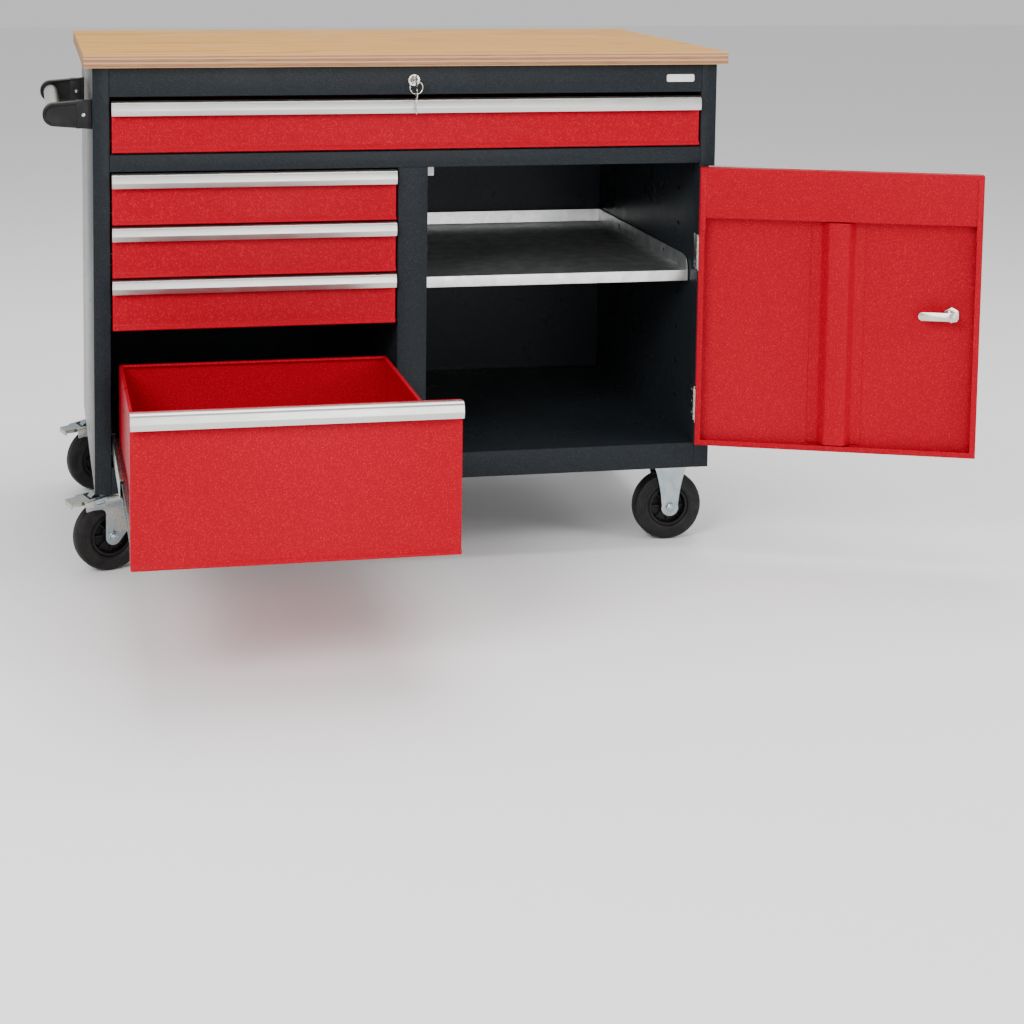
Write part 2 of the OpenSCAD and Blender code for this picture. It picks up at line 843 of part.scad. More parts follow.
// bolt with head and nut outside the fork legs
module axle() {
    rod_y(axle_r, -leg_y - leg_t - 7, leg_y + leg_t + 4);
    rod_y(8.5, -leg_y - leg_t - 6, -leg_y - leg_t, 6);
    rod_y(8.5, leg_y + leg_t, leg_y + leg_t + 6, 6);
}

module swivel_leg() {
    top = head_z - head_t;
    arm = -trail - 46;
    along_y(-leg_t / 2, leg_t / 2) difference() {
        union() {
            polygon([[-trail - boss_r, wheel_r], [-trail - boss_r, top - 21], [arm, top - 20],
                [arm, top - 8], [-trail - 4, top], [race_r + 1, top],
                [race_r - 2, top - 24], [-trail + boss_r - 1.5, wheel_r - 6]]);
            translate([-trail, wheel_r]) circle(r = boss_r);
        }
        translate([-trail, wheel_r]) circle(r = axle_r + fork_fit);
    }
}

module swivel_fork() {
    top = head_z - head_t;
    out = leg_y + leg_t;
    difference() {
        union() {
            translate([0, 0, top]) cylinder(r = race_r + 2, h = head_t);
            span(-trail - 8, 0, -out, out, top, top + head_t);
            for (s = [-1, 1]) translate([0, s * (leg_y + leg_t / 2), 0]) swivel_leg();
        }
        translate([0, 0, top - 1]) cylinder(r = bore_r + run_fit, h = head_t + 2);
        translate([pedal_x, 0, pedal_z]) rod_y(pedal_pin_r, -out - 1, out + 1);
    }
    axle_pose() axle();
}

module front_fork() color(zinc) swivel_pose(0) swivel_fork();
module rear_fork() color(zinc) swivel_pose(1) swivel_fork();

pedal_x = -trail - 36;
pedal_z = head_z - head_t - pedal_drop;
pedal_y = leg_y + leg_t + pedal_air;

// stamped brake pedal: saddle over the fork arms with windows, pin and foot tab
module pedal() {
    out = pedal_y + pedal_t;
    top_in = pedal_high - pedal_t;
    translate([pedal_x, 0, pedal_z]) {
        rod_y(pedal_pin_r - run_fit, -out - 1.5, out + 1.5);
        rotate([0, -brake_tilt, 0]) {
            difference() {
                span(-pedal_back, pedal_front, -out, out, -pedal_low, pedal_high);
                span(-pedal_back - 1, pedal_front + 1, -pedal_y, pedal_y, -pedal_low - 1, top_in);
                span(5, pedal_front - 4, -out - 1, out + 1, 2, 7);
                span(0, pedal_front - 6, -pedal_y + 8, pedal_y - 8, top_in - 1, pedal_high + 1);
            }
            span(-tab_reach, -pedal_back + 2, -tab_w, tab_w, top_in, pedal_high + 0.6);
            span(-tab_reach, -tab_reach + 2.2, -tab_w, tab_w, 4, pedal_high);
        }
    }
}

module front_pedal() color(zinc) swivel_pose(0) pedal();
module rear_pedal() color(zinc) swivel_pose(1) pedal();

// pressed fork: arch profile trimmed by a tapered outline
module fixed_fork() {
    top = caster_h;
    bend = 10;
    out = leg_y + leg_t;
    foot = 12;
    waist = top - 36;
    flare = bolt_dx - nut_r - 1.5;
    intersection() {
        along_x(-plate_x, plate_x) difference() {
            union() {
                translate([-out, 0]) square([2 * out, top]);
                translate([-out - foot, top - plate_t]) square([2 * (out + foot), plate_t]);
            }
            translate([-leg_y, -1]) square([2 * leg_y, top - bend - plate_t + 1]);
            translate([-leg_y + bend, -1]) square([2 * (leg_y - bend), top - plate_t + 1]);
            for (s = [-1, 1]) translate([s * (leg_y - bend), top - plate_t - bend])
                circle(r = bend);
        }
        along_y(-plate_x, plate_x) union() {
            polygon([[-boss_r - 2, wheel_r], [-20, waist], [-flare, top - 6], [-flare, top],
                [flare, top], [flare, top - 6], [20, waist], [boss_r + 2, wheel_r]]);
            translate([0, wheel_r]) circle(r = boss_r + 2);
        }
    }
}

module fixed_forks() {
    color(zinc)
    for (i = [2, 3]) translate([caster_xy[i][0], caster_xy[i][1], 0]) {
        plate();
        difference() {
            fixed_fork();
            translate([0, 0, wheel_r]) rod_y(axle_r + fork_fit, -plate_x, plate_x);
        }
    }
}

// ---- wheels, axis along Y through the origin ----

// section with two tread grooves and a stepped side wall
module tyre_body() {
    w = tyre_w / 2;
    groove = 5.5;
    cut = 1;
    rotate([90, 0, 0]) rotate_extrude() polygon([[rim_r + tyre_fit, -w + 4], [rim_r + 6, -w],
        [wheel_r - 9, -w], [wheel_r - 3, -w + 4], [wheel_r, -w + 10],
        [wheel_r, -groove - cut], [wheel_r - 1.5, -groove], [wheel_r, -groove + cut],
        [wheel_r, groove - cut], [wheel_r - 1.5, groove], [wheel_r, groove + cut],
        [wheel_r, w - 10], [wheel_r - 3, w - 4], [wheel_r - 9, w],
        [rim_r + 6, w], [rim_r + tyre_fit, w - 4]]);
}

module rim_body() {
    w = tyre_w / 2;
    ribs = 8;
    hub_r = 11;
    web = 3;
    rim_t = 6;
    difference() {
        union() {
            rotate([90, 0, 0]) rotate_extrude() polygon([[axle_r, -hub_w / 2],
                [hub_r, -hub_w / 2], [hub_r, -web], [rim_r - rim_t, -web],
                [rim_r - rim_t, -w + 4], [rim_r, -w + 4], [rim_r, w - 4],
                [rim_r - rim_t, w - 4], [rim_r - rim_t, web], [hub_r, web],
                [hub_r, hub_w / 2], [axle_r, hub_w / 2]]);
            for (i = [0:ribs - 1]) rotate([0, i * 360 / ribs, 0])
                translate([hub_r - 2, -w + 8, -1.2])
                cube([rim_r - rim_t - hub_r + 4, 2 * w - 16, 2.4]);
        }
        rod_y(axle_r + run_fit, -hub_w, hub_w);
    }
}

module at_swivel(i) swivel_pose(i) axle_pose() children();
module at_fixed(i) translate([caster_xy[i][0], caster_xy[i][1], wheel_r]) children();

module tyre_fl() color(rubber) at_swivel(0) tyre_body();
module rim_fl() color(black) at_swivel(0) rim_body();
module tyre_rl() color(rubber) at_swivel(1) tyre_body();
module rim_rl() color(black) at_swivel(1) rim_body();
module tyre_fr() color(rubber) at_fixed(2) tyre_body();
module rim_fr() color(black) at_fixed(2) rim_body();
module tyre_rr() color(rubber) at_fixed(3) tyre_body();
module rim_rr() color(black) at_fixed(3) rim_body();

// ---- screws, bolts and the axles of the fixed casters ----

// head under the plate, shank, and nut on the flange above it
module hex_bolt() {
    translate([0, 0, caster_h - plate_t - nut_h]) cylinder(r = nut_r, h = nut_h, $fn = 6);
    translate([0, 0, caster_h - plate_t - 1])
        cylinder(r = bolt_r, h = plate_t + sheet + nut_h + 1, $fn = 24);
    translate([0, 0, caster_h + sheet]) cylinder(r = nut_r, h = nut_h, $fn = 6);
}

// cap screw through the bracket bore with its nut inside the side panel
module bracket_screw() {
    translate([0, 0, screw_seat - nut_h]) cylinder(r = nut_r, h = nut_h);
    translate([0, 0, screw_seat - 1])
        cylinder(r = bolt_r, h = sheet + nut_h + 3 - screw_seat, $fn = 24);
    translate([0, 0, sheet]) cylinder(r = nut_r, h = nut_h, $fn = 6);
}

module fasteners() {
    color(zinc) {
        for (c = caster_xy) translate([c[0], c[1], 0]) bolt_pattern() hex_bolt();
        for (i = [2, 3]) at_fixed(i) axle();
        for (hy = handle_ys) translate([-half_w, hy, handle_z]) rotate([0, 90, 0]) bracket_screw();
    }
}

worktop();
side_left();
side_right();
side_liners();
centre_post();
rail_top();
rail_mid();
rail_bottom();
back_panel();
floor_panel();
partition();
dust_panel();
shelf();
shelf_clips();
slides_outer();
lock_body();
handle_brackets();
handle_tube();
fasteners();
caster_plates();
hinge_leaves();
fixed_forks();
key();
key_ring();
top_box();
top_front_panel();
top_grip();
upper_box();
upper_front();
upper_grip();
middle_box();
middle_front();
middle_grip();
lower_box();
lower_front();
lower_grip();
deep_box();
deep_front();
deep_grip();
deep_runners();
deep_mids();
door_skin();
door_channel();
door_stiffener();
door_grip();
door_leaves();
door_lock();
door_cam();
front_fork();
front_pedal();
rear_fork();
rear_pedal();
tyre_fl();
rim_fl();
tyre_rl();
rim_rl();
tyre_fr();
rim_fr();
tyre_rr();
rim_rr();
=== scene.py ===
import json
import math
import bmesh
import bpy
from mathutils import Matrix, Vector

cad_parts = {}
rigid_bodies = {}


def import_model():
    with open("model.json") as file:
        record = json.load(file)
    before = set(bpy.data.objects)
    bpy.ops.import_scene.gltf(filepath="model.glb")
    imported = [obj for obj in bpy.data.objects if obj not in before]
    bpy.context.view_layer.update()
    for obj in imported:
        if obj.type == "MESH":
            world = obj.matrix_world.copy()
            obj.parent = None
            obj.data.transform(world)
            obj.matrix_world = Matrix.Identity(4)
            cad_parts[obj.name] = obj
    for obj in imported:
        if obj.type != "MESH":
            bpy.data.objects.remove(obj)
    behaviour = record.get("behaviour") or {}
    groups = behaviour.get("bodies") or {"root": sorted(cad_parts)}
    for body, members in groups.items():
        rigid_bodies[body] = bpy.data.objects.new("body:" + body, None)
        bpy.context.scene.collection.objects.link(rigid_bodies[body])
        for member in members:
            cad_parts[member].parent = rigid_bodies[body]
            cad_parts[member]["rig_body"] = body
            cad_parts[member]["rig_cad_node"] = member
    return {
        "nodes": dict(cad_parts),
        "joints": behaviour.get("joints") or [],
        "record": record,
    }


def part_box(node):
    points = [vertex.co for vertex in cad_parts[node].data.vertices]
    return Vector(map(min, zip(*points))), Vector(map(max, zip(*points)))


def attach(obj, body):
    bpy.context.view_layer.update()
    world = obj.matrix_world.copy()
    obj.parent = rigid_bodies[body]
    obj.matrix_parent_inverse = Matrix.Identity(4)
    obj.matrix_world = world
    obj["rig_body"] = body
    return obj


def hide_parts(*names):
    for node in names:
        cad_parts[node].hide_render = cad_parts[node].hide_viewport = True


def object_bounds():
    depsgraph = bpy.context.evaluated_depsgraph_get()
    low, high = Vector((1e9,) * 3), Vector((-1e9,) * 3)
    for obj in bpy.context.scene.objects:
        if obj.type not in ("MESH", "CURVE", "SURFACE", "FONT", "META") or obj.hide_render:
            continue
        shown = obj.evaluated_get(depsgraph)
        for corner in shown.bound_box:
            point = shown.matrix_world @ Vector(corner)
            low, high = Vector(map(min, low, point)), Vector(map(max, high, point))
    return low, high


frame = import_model()
cadLow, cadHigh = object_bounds()
jointSpec = {j["name"]: j for j in frame["joints"]}
mm = 0.001

cameraValues = {
    "lens": 70.10,
    "place": (-0.6502, -3.6171, 1.1365),
    "turn": 0.1915,  # toward the cupboard side
    "down": 0.0967,
    "roll": 0.0089,
    "shift": (0.1006, -0.4023),
}


def setCamera(v):
    turn, down, roll = v["turn"], v["down"], v["roll"]
    ahead = Vector((math.sin(turn) * math.cos(down), math.cos(turn) * math.cos(down), -math.sin(down)))
    level = Vector((math.cos(turn), -math.sin(turn), 0))
    over = level.cross(ahead)
    right = level * math.cos(roll) + over * math.sin(roll)
    up = over * math.cos(roll) - level * math.sin(roll)
    data = bpy.data.cameras.new("studioCamera")
    data.lens = v["lens"]
    data.shift_x, data.shift_y = v["shift"]
    camera = bpy.data.objects.new("studioCamera", data)
    bpy.context.collection.objects.link(camera)
    turned = Matrix((right, up, -ahead)).transposed().to_4x4()
    camera.matrix_world = Matrix.Translation(v["place"]) @ turned
    bpy.context.scene.camera = camera


setCamera(cameraValues)
print("camera set")


# shared shader effects

def newGroup(name, inputs, outputs):
    tree = bpy.data.node_groups.new(name, "ShaderNodeTree")
    for label, kind, value in inputs:
        socket = tree.interface.new_socket(label, in_out="INPUT", socket_type=kind)
        socket.default_value = value
    for label, kind in outputs:
        tree.interface.new_socket(label, in_out="OUTPUT", socket_type=kind)
    return tree, tree.nodes.new("NodeGroupInput"), tree.nodes.new("NodeGroupOutput")


def addNode(tree, kind, inputs=None, **settings):
    made = tree.nodes.new("ShaderNode" + kind)
    for label, value in settings.items():
        setattr(made, label, value)
    for label, value in (inputs or {}).items():
        if isinstance(value, bpy.types.NodeSocket):
            tree.links.new(value, made.inputs[label])
        else:
            made.inputs[label].default_value = value
    return made


def addRamp(tree, source, stops, smooth=True):
    ramp = addNode(tree, "ValToRGB", {"Fac": source})
    ramp.color_ramp.interpolation = "EASE" if smooth else "LINEAR"
    parts = ramp.color_ramp.elements
    while len(parts) < len(stops):
        parts.new(0.5)
    for part, (at, colour) in zip(parts, stops):
        part.position = at
        part.color = colour if len(colour) == 4 else (*colour, 1)
    return ramp.outputs["Color"]


def addMath(tree, how, a, b=0.0):
    return addNode(tree, "Math", {0: a, 1: b}, operation=how).outputs[0]


def blendColours(tree, mask, a, b, how="MIX"):
    made = addNode(tree, "Mix", data_type="RGBA", blend_type=how)
    for place, value in ((0, mask), (6, a), (7, b)):
        if isinstance(value, bpy.types.NodeSocket):
            tree.links.new(value, made.inputs[place])
        else:
            made.inputs[place].default_value = value if place == 0 else (*value, 1)
    return made.outputs[2]


def objectPlace(tree, scale=(1, 1, 1)):
    coords = addNode(tree, "TexCoord")
    return addNode(tree, "Mapping", {"Vector": coords.outputs["Object"], "Scale": scale}).outputs["Vector"]


# fine pimpled skin of a powder coat, with painted glints: the pimple tops get a lighter colour that stands in
# for highlights
def makeOrangePeel():
    tree, given, result = newGroup(
        "orangePeel",
        [("Pimples per metre", "NodeSocketFloat", 700.0)],
        [("Height", "NodeSocketFloat"), ("PaintedGlintMask", "NodeSocketFloat"), ("Cloud", "NodeSocketFloat")],
    )
    at = objectPlace(tree)
    per = given.outputs["Pimples per metre"]
    pimples = addNode(tree, "TexNoise", {"Vector": at, "Scale": per, "Detail": 2.0, "Roughness": 0.55})
    grains = addNode(tree, "TexVoronoi", {"Vector": at, "Scale": addMath(tree, "MULTIPLY", per, 0.8)})
    cloud = addNode(tree, "TexNoise", {"Vector": at, "Scale": 7.0, "Detail": 3.0})
    rounded = addMath(tree, "MULTIPLY", grains.outputs["Distance"], -0.7)
    tree.links.new(addMath(tree, "ADD", pimples.outputs["Fac"], rounded), result.inputs["Height"])
    # painted highlight: mask of the pimple tops that are lit up in colour
    paintedGlint = addNode(tree, "MapRange", {"Value": pimples.outputs["Fac"], "From Min": 0.52, "From Max": 0.72})
    tree.links.new(paintedGlint.outputs["Result"], result.inputs["PaintedGlintMask"])
    tree.links.new(cloud.outputs["Fac"], result.inputs["Cloud"])
    return tree


# fine lines left by rolling, drawing or brushing; Stretch is how many run across each axis
def makeDrawnLines():
    tree, given, result = newGroup(
        "drawnLines",
        [("Stretch", "NodeSocketVector", (4.0, 900.0, 900.0))],
        [("Lines", "NodeSocketFloat"), ("Streaks", "NodeSocketFloat")],
    )
    coords = addNode(tree, "TexCoord")
    at = addNode(tree, "Mapping", {"Vector": coords.outputs["Object"], "Scale": given.outputs["Stretch"]})
    fine = addNode(tree, "TexNoise", {"Vector": at.outputs["Vector"], "Scale": 1.0, "Detail": 4.0})
    wide = addNode(tree, "TexNoise", {"Vector": at.outputs["Vector"], "Scale": 0.13, "Detail": 2.0})
    tree.links.new(fine.outputs["Fac"], result.inputs["Lines"])
    tree.links.new(wide.outputs["Fac"], result.inputs["Streaks"])
    return tree


# colour drift of a plated or galvanised surface
def makePlatingTint():
    tree, given, result = newGroup(
        "platingTint",
        [("Cool", "NodeSocketColor", (0.6, 0.7, 0.75, 1)), ("Warm", "NodeSocketColor", (0.75, 0.72, 0.6, 1)),
         ("Patches per metre", "NodeSocketFloat", 22.0)],
        [("Color", "NodeSocketColor"), ("Mottle", "NodeSocketFloat")],
    )
    at = objectPlace(tree)
    per = given.outputs["Patches per metre"]
    patch = addNode(tree, "TexNoise", {"Vector": at, "Scale": per, "Detail": 3.0, "Distortion": 0.6})
    mask = addNode(tree, "MapRange", {"Value": patch.outputs["Fac"], "From Min": 0.36, "From Max": 0.64})
    fine = addNode(tree, "TexNoise", {"Vector": at, "Scale": addMath(tree, "MULTIPLY", per, 9.0),
                                      "Detail": 4.0})
    tint = blendColours(tree, mask.outputs["Result"], given.outputs["Cool"], given.outputs["Warm"])
    tree.links.new(tint, result.inputs["Color"])
    tree.links.new(fine.outputs["Fac"], result.inputs["Mottle"])
    return tree


# soft smudges from handling
def makeSmudges():
    tree, given, result = newGroup(
        "smudges",
        [("Smudges per metre", "NodeSocketFloat", 12.0)],
        [("Mask", "NodeSocketFloat")],
    )
    at = objectPlace(tree)
    soft = addNode(tree, "TexNoise", {"Vector": at, "Scale": given.outputs["Smudges per metre"],
                                     "Detail": 6.0, "Roughness": 0.62, "Distortion": 0.9})
    mask = addNode(tree, "MapRange", {"Value": soft.outputs["Fac"], "From Min": 0.42, "From Max": 0.7})
    tree.links.new(mask.outputs["Result"], result.inputs["Mask"])
    return tree


orangePeel = makeOrangePeel()
drawnLines = makeDrawnLines()
platingTint = makePlatingTint()
smudges = makeSmudges()


def placeGroup(tree, group, **inputs):
    made = tree.nodes.new("ShaderNodeGroup")
    made.node_tree = group
    for label, value in inputs.items():
        made.inputs[label.replace("_", " ")].default_value = value
    return made


def newMaterial(name, **settings):
    material = bpy.data.materials.new(name)
    material.use_nodes = True
    shader = material.node_tree.nodes["Principled BSDF"]
    for label, value in settings.items():
        shader.inputs[label.replace("_", " ")].default_value = value
    return material, material.node_tree, shader


def addBump(tree, shader, height, strength, distance):
    bump = addNode(tree, "Bump", {"Height": height, "Strength": strength, "Distance": distance})
    tree.links.new(bump.outputs["Normal"], shader.inputs["Normal"])


def roughFrom(tree, shader, source, low, high):
    spread = addNode(tree, "MapRange", {"Value": source, "To Min": low, "To Max": high})
    tree.links.new(spread.outputs["Result"], shader.inputs["Roughness"])


# paintedGlint is a lighter colour painted on the pimple tops as a highlight
coatValues = {
    "anthracite": {"base": (0.012, 0.015, 0.018), "paintedGlint": (0.030, 0.036, 0.041), "low": 0.24, "high": 0.34,
                   "pimples": 620.0, "bump": 0.10, "shine": 0.09, "bloom": 0.5},
    "signalRed": {"base": (0.330, 0.0004, 0.0110), "paintedGlint": (0.560, 0.010, 0.024), "low": 0.26, "high": 0.38,
                  "pimples": 480.0, "bump": 0.45, "shine": 0.05, "bloom": 0.0},
}


def powderCoat(name):
    v = coatValues[name]
    material, tree, shader = newMaterial(name + "Coat", IOR=1.5, Specular_IOR_Level=v["shine"],
                                         Sheen_Weight=v["bloom"], Sheen_Roughness=0.12)
    peel = placeGroup(tree, orangePeel, Pimples_per_metre=v["pimples"])
    marks = placeGroup(tree, smudges, Smudges_per_metre=9.0)
    # painted highlight: pimple tops blended toward the lighter glint colour
    colour = blendColours(tree, peel.outputs["PaintedGlintMask"], v["base"], v["paintedGlint"])
    darker = tuple(c * 0.82 for c in v["base"])
    fade = addMath(tree, "MULTIPLY", peel.outputs["Cloud"], 0.35)
    tree.links.new(blendColours(tree, fade, colour, darker), shader.inputs["Base Color"])
    roughFrom(tree, shader, marks.outputs["Mask"], v["high"], v["low"])
    addBump(tree, shader, peel.outputs["Height"], v["bump"], 0.0004)
    return material


metalValues = {
    "aluminium": {"cool": (0.56, 0.57, 0.56), "warm": (0.66, 0.65, 0.61), "patches": 3.0, "low": 0.26,
                  "high": 0.40, "stretch": (3.0, 1500.0, 1500.0), "bump": 0.05},
    "zincPlate": {"cool": (0.30, 0.39, 0.43), "warm": (0.50, 0.51, 0.44), "patches": 26.0, "low": 0.20,
                  "high": 0.38, "stretch": (500.0, 500.0, 60.0), "bump": 0.05},
    "galvanised": {"cool": (0.66, 0.67, 0.68), "warm": (0.84, 0.84, 0.83), "patches": 40.0, "low": 0.30,
                   "high": 0.48, "stretch": (30.0, 700.0, 700.0), "bump": 0.04},
    "nickel": {"cool": (0.50, 0.49, 0.45), "warm": (0.64, 0.60, 0.52), "patches": 60.0, "low": 0.14,
               "high": 0.28, "stretch": (900.0, 900.0, 900.0), "bump": 0.03},
}


def metalFinish(name):
    v = metalValues[name]
    material, tree, shader = newMaterial(name, Metallic=1.0)
    tint = placeGroup(tree, platingTint, Cool=(*v["cool"], 1), Warm=(*v["warm"], 1),
                      Patches_per_metre=v["patches"])
    lines = placeGroup(tree, drawnLines, Stretch=v["stretch"])
    tree.links.new(tint.outputs["Color"], shader.inputs["Base Color"])
    both = addMath(tree, "MULTIPLY", lines.outputs["Lines"], tint.outputs["Mottle"])
    roughFrom(tree, shader, addMath(tree, "MULTIPLY", both, 2.2), v["low"], v["high"])
    addBump(tree, shader, lines.outputs["Lines"], v["bump"], 0.0002)
    return material


mouldedValues = {
    "tyreRubber": {"base": (0.0055, 0.0055, 0.0058), "worn": (0.017, 0.016, 0.015), "low": 0.42, "high": 0.64,
                   "grain": 900.0, "bump": 0.12},
    "blackPlastic": {"base": (0.005, 0.005, 0.0055), "worn": (0.012, 0.012, 0.0125), "low": 0.30,
                     "high": 0.46,
                     "grain": 1500.0, "bump": 0.08},
    "paleCap": {"base": (0.62, 0.63, 0.63), "worn": (0.72, 0.72, 0.71), "low": 0.32, "high": 0.45,
                "grain": 1500.0, "bump": 0.04},
}


def mouldedFinish(name):
    v = mouldedValues[name]
    material, tree, shader = newMaterial(name, IOR=1.46, Specular_IOR_Level=0.25)
    peel = placeGroup(tree, orangePeel, Pimples_per_metre=v["grain"])
    marks = placeGroup(tree, smudges, Smudges_per_metre=30.0)
    tree.links.new(blendColours(tree, marks.outputs["Mask"], v["base"], v["worn"]),
                   shader.inputs["Base Color"])
    roughFrom(tree, shader, peel.outputs["Cloud"], v["low"], v["high"])
    addBump(tree, shader, peel.outputs["Height"], v["bump"], 0.0003)
    return material


oakValues = {
    "pale": (0.560, 0.300, 0.080), "tan": (0.400, 0.190, 0.040), "dark": (0.230, 0.095, 0.018),
    "figure": 3.2, "edgeLow": (0.230, 0.095, 0.045), "edgeHigh": (0.480, 0.260, 0.120),
}


# sliced oak with long figure and short open pores, grain along X
def oakFace(v):
    material, tree, shader = newMaterial("oakVeneer", IOR=1.45, Specular_IOR_Level=0.06)
    board = objectPlace(tree, (0.55, 5.0, 5.0))
    warp = addNode(tree, "TexNoise", {"Vector": board, "Scale": 1.6, "Detail": 3.0})
    bent = addNode(tree, "VectorMath", {0: board, 1: warp.outputs["Color"]}, operation="ADD")
    figure = addNode(tree, "TexWave", {"Vector": bent.outputs["Vector"], "Scale": v["figure"],
                                       "Distortion": 3.5,
                                      "Detail": 3.0, "Detail Scale": 1.4}, bands_direction="Y")
    fine = addNode(tree, "TexNoise", {"Vector": objectPlace(tree, (5.0, 330.0, 330.0)), "Scale": 1.0,
                                      "Detail": 4.0})
    pores = addNode(tree, "TexNoise", {"Vector": objectPlace(tree, (45.0, 1300.0, 900.0)), "Scale": 1.0,
                                       "Detail": 2.0})
    rings = addRamp(tree, figure.outputs["Fac"], [(0.0, v["tan"]), (0.45, v["pale"]), (1.0, v["pale"])])
    streak = addNode(tree, "MapRange", {"Value": fine.outputs["Fac"], "From Min": 0.35, "From Max": 0.75,
                                       "To Max": 0.55})
    mixed = blendColours(tree, streak.outputs["Result"], rings, v["tan"])
    pit = addNode(tree, "MapRange", {"Value": pores.outputs["Fac"], "From Min": 0.60, "From Max": 0.74,
                                     "To Max": 0.6})
    tree.links.new(blendColours(tree, pit.outputs["Result"], mixed, v["dark"]), shader.inputs["Base Color"])
    marks = placeGroup(tree, smudges, Smudges_per_metre=6.0)
    roughFrom(tree, shader, marks.outputs["Mask"], 0.50, 0.38)
    depth = addMath(tree, "SUBTRACT", fine.outputs["Fac"], pit.outputs["Result"])
    addBump(tree, shader, depth, 0.10, 0.0003)
    return material


# edge of the board: glued layers, each with its own streaks
def plyEdge(v, low, high):
    material, tree, shader = newMaterial("plyEdge", IOR=1.45)
    coords = addNode(tree, "TexCoord")
    split = addNode(tree, "SeparateXYZ", {"Vector": coords.outputs["Object"]})
    wobble = addNode(tree, "TexNoise", {"Vector": objectPlace(tree, (9.0, 9.0, 60.0)), "Scale": 1.0,
                                        "Detail": 2.0})
    sway = addNode(tree, "MapRange", {"Value": wobble.outputs["Fac"], "To Min": -0.0006, "To Max": 0.0006})
    height = addMath(tree, "ADD", split.outputs["Z"], sway.outputs["Result"])
    layer = addNode(tree, "MapRange", {"Value": height, "From Min": low, "From Max": high})
    dark, light, glue = v["edgeLow"], v["edgeHigh"], (0.10, 0.045, 0.025)
    stops = [(0.0, v["pale"]), (0.05, light), (0.10, glue), (0.14, dark), (0.25, dark), (0.28, glue),
             (0.31, light),
             (0.43, light), (0.46, glue), (0.49, dark), (0.60, dark), (0.63, glue), (0.66, light),
             (0.77, light),
             (0.80, glue), (0.83, dark), (0.92, light), (0.95, v["pale"]), (1.0, v["pale"])]
    plies = addRamp(tree, layer.outputs["Result"], stops, smooth=False)
    fine = addNode(tree, "TexNoise", {"Vector": objectPlace(tree, (22.0, 22.0, 1400.0)), "Scale": 1.0,
                                      "Detail": 3.0})
    streak = addNode(tree, "MapRange", {"Value": fine.outputs["Fac"], "From Min": 0.35, "From Max": 0.7,
                                        "To Max": 0.6})
    tree.links.new(blendColours(tree, streak.outputs["Result"], plies, light), shader.inputs["Base Color"])
    shader.inputs["Roughness"].default_value = 0.6
    addBump(tree, shader, fine.outputs["Fac"], 0.12, 0.0003)
    return material


boardLow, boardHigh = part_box("worktop")
finishes = {name: powderCoat(name) for name in coatValues}
finishes.update({name: metalFinish(name) for name in metalValues})
finishes.update({name: mouldedFinish(name) for name in mouldedValues})
finishes["oakVeneer"] = oakFace(oakValues)
finishes["plyEdge"] = plyEdge(oakValues, boardLow.z, boardHigh.z)
slotFinish = {
    "oak_plywood": "oakVeneer", "anthracite_coat": "anthracite", "red_coat": "signalRed",
    "aluminium": "aluminium", "rubber": "tyreRubber", "black_plastic": "blackPlastic",
    "galvanised_sheet": "galvanised", "nickel": "nickel", "zinc_plated": "zincPlate",
}
for part in frame["record"]["subparts"]:
    cad = frame["nodes"][part["node"]]
    cad.data.materials.clear()
    cad.data.materials.append(finishes[slotFinish[part["material_slot"]]])
print("finishes made")


# modelling helpers

def letGo():
    if bpy.context.object and bpy.context.object.mode != "OBJECT":
        bpy.ops.object.mode_set(mode="OBJECT")
    bpy.ops.object.select_all(action="DESELECT")


def workOn(obj):
    letGo()
    obj.select_set(True)
    bpy.context.view_layer.objects.active = obj


def openMesh(obj, kind="VERT"):
    workOn(obj)
    bpy.ops.object.mode_set(mode="EDIT")
    bpy.ops.mesh.select_mode(type=kind)
    bpy.ops.mesh.select_all(action="SELECT")


def closeMesh():
    bpy.ops.object.mode_set(mode="OBJECT")


def choose(kind, test):
    bpy.ops.mesh.select_mode(type=kind)
    bpy.ops.mesh.select_all(action="DESELECT")
    data = bpy.context.object.data
    bm = bmesh.from_edit_mesh(data)
    for part in {"VERT": bm.verts, "EDGE": bm.edges, "FACE": bm.faces}[kind]:
        if test(part):
            part.select_set(True)
    bmesh.update_edit_mesh(data)


def pull(value):
    bpy.ops.mesh.extrude_region_move(TRANSFORM_OT_translate={"value": value})


def addModifier(obj, kind, **settings):
    workOn(obj)
    made = obj.modifiers.new(kind.title(), kind)
    for label, value in settings.items():
        setattr(made, label, value)
    bpy.ops.object.modifier_apply(modifier=made.name)


def roundEdges(obj, width, steps=2, sharp=0.6):
    addModifier(obj, "BEVEL", width=width, segments=steps, limit_method="ANGLE", angle_limit=sharp,
                use_clamp_overlap=True)


def tidyNormals(obj):
    openMesh(obj)
    bpy.ops.mesh.remove_doubles(threshold=0.000002)
    bpy.ops.mesh.normals_make_consistent(inside=False)
    closeMesh()


def applyPlace(obj):
    workOn(obj)
    bpy.ops.object.transform_apply(location=True, rotation=True, scale=True)


def joinAll(parts):
    workOn(parts[0])
    for part in parts[1:]:
        part.select_set(True)
    bpy.ops.object.join()
    return parts[0]


def copyOf(obj, place):
    made = obj.copy()
    made.data = obj.data.copy()
    bpy.context.collection.objects.link(made)
    made.data.transform(place)
    return made


def inPlane(run, along, pair):
    a, b = pair
    return {"X": (along, a, b), "Y": (a, along, b), "Z": (a, b, along)}[run]


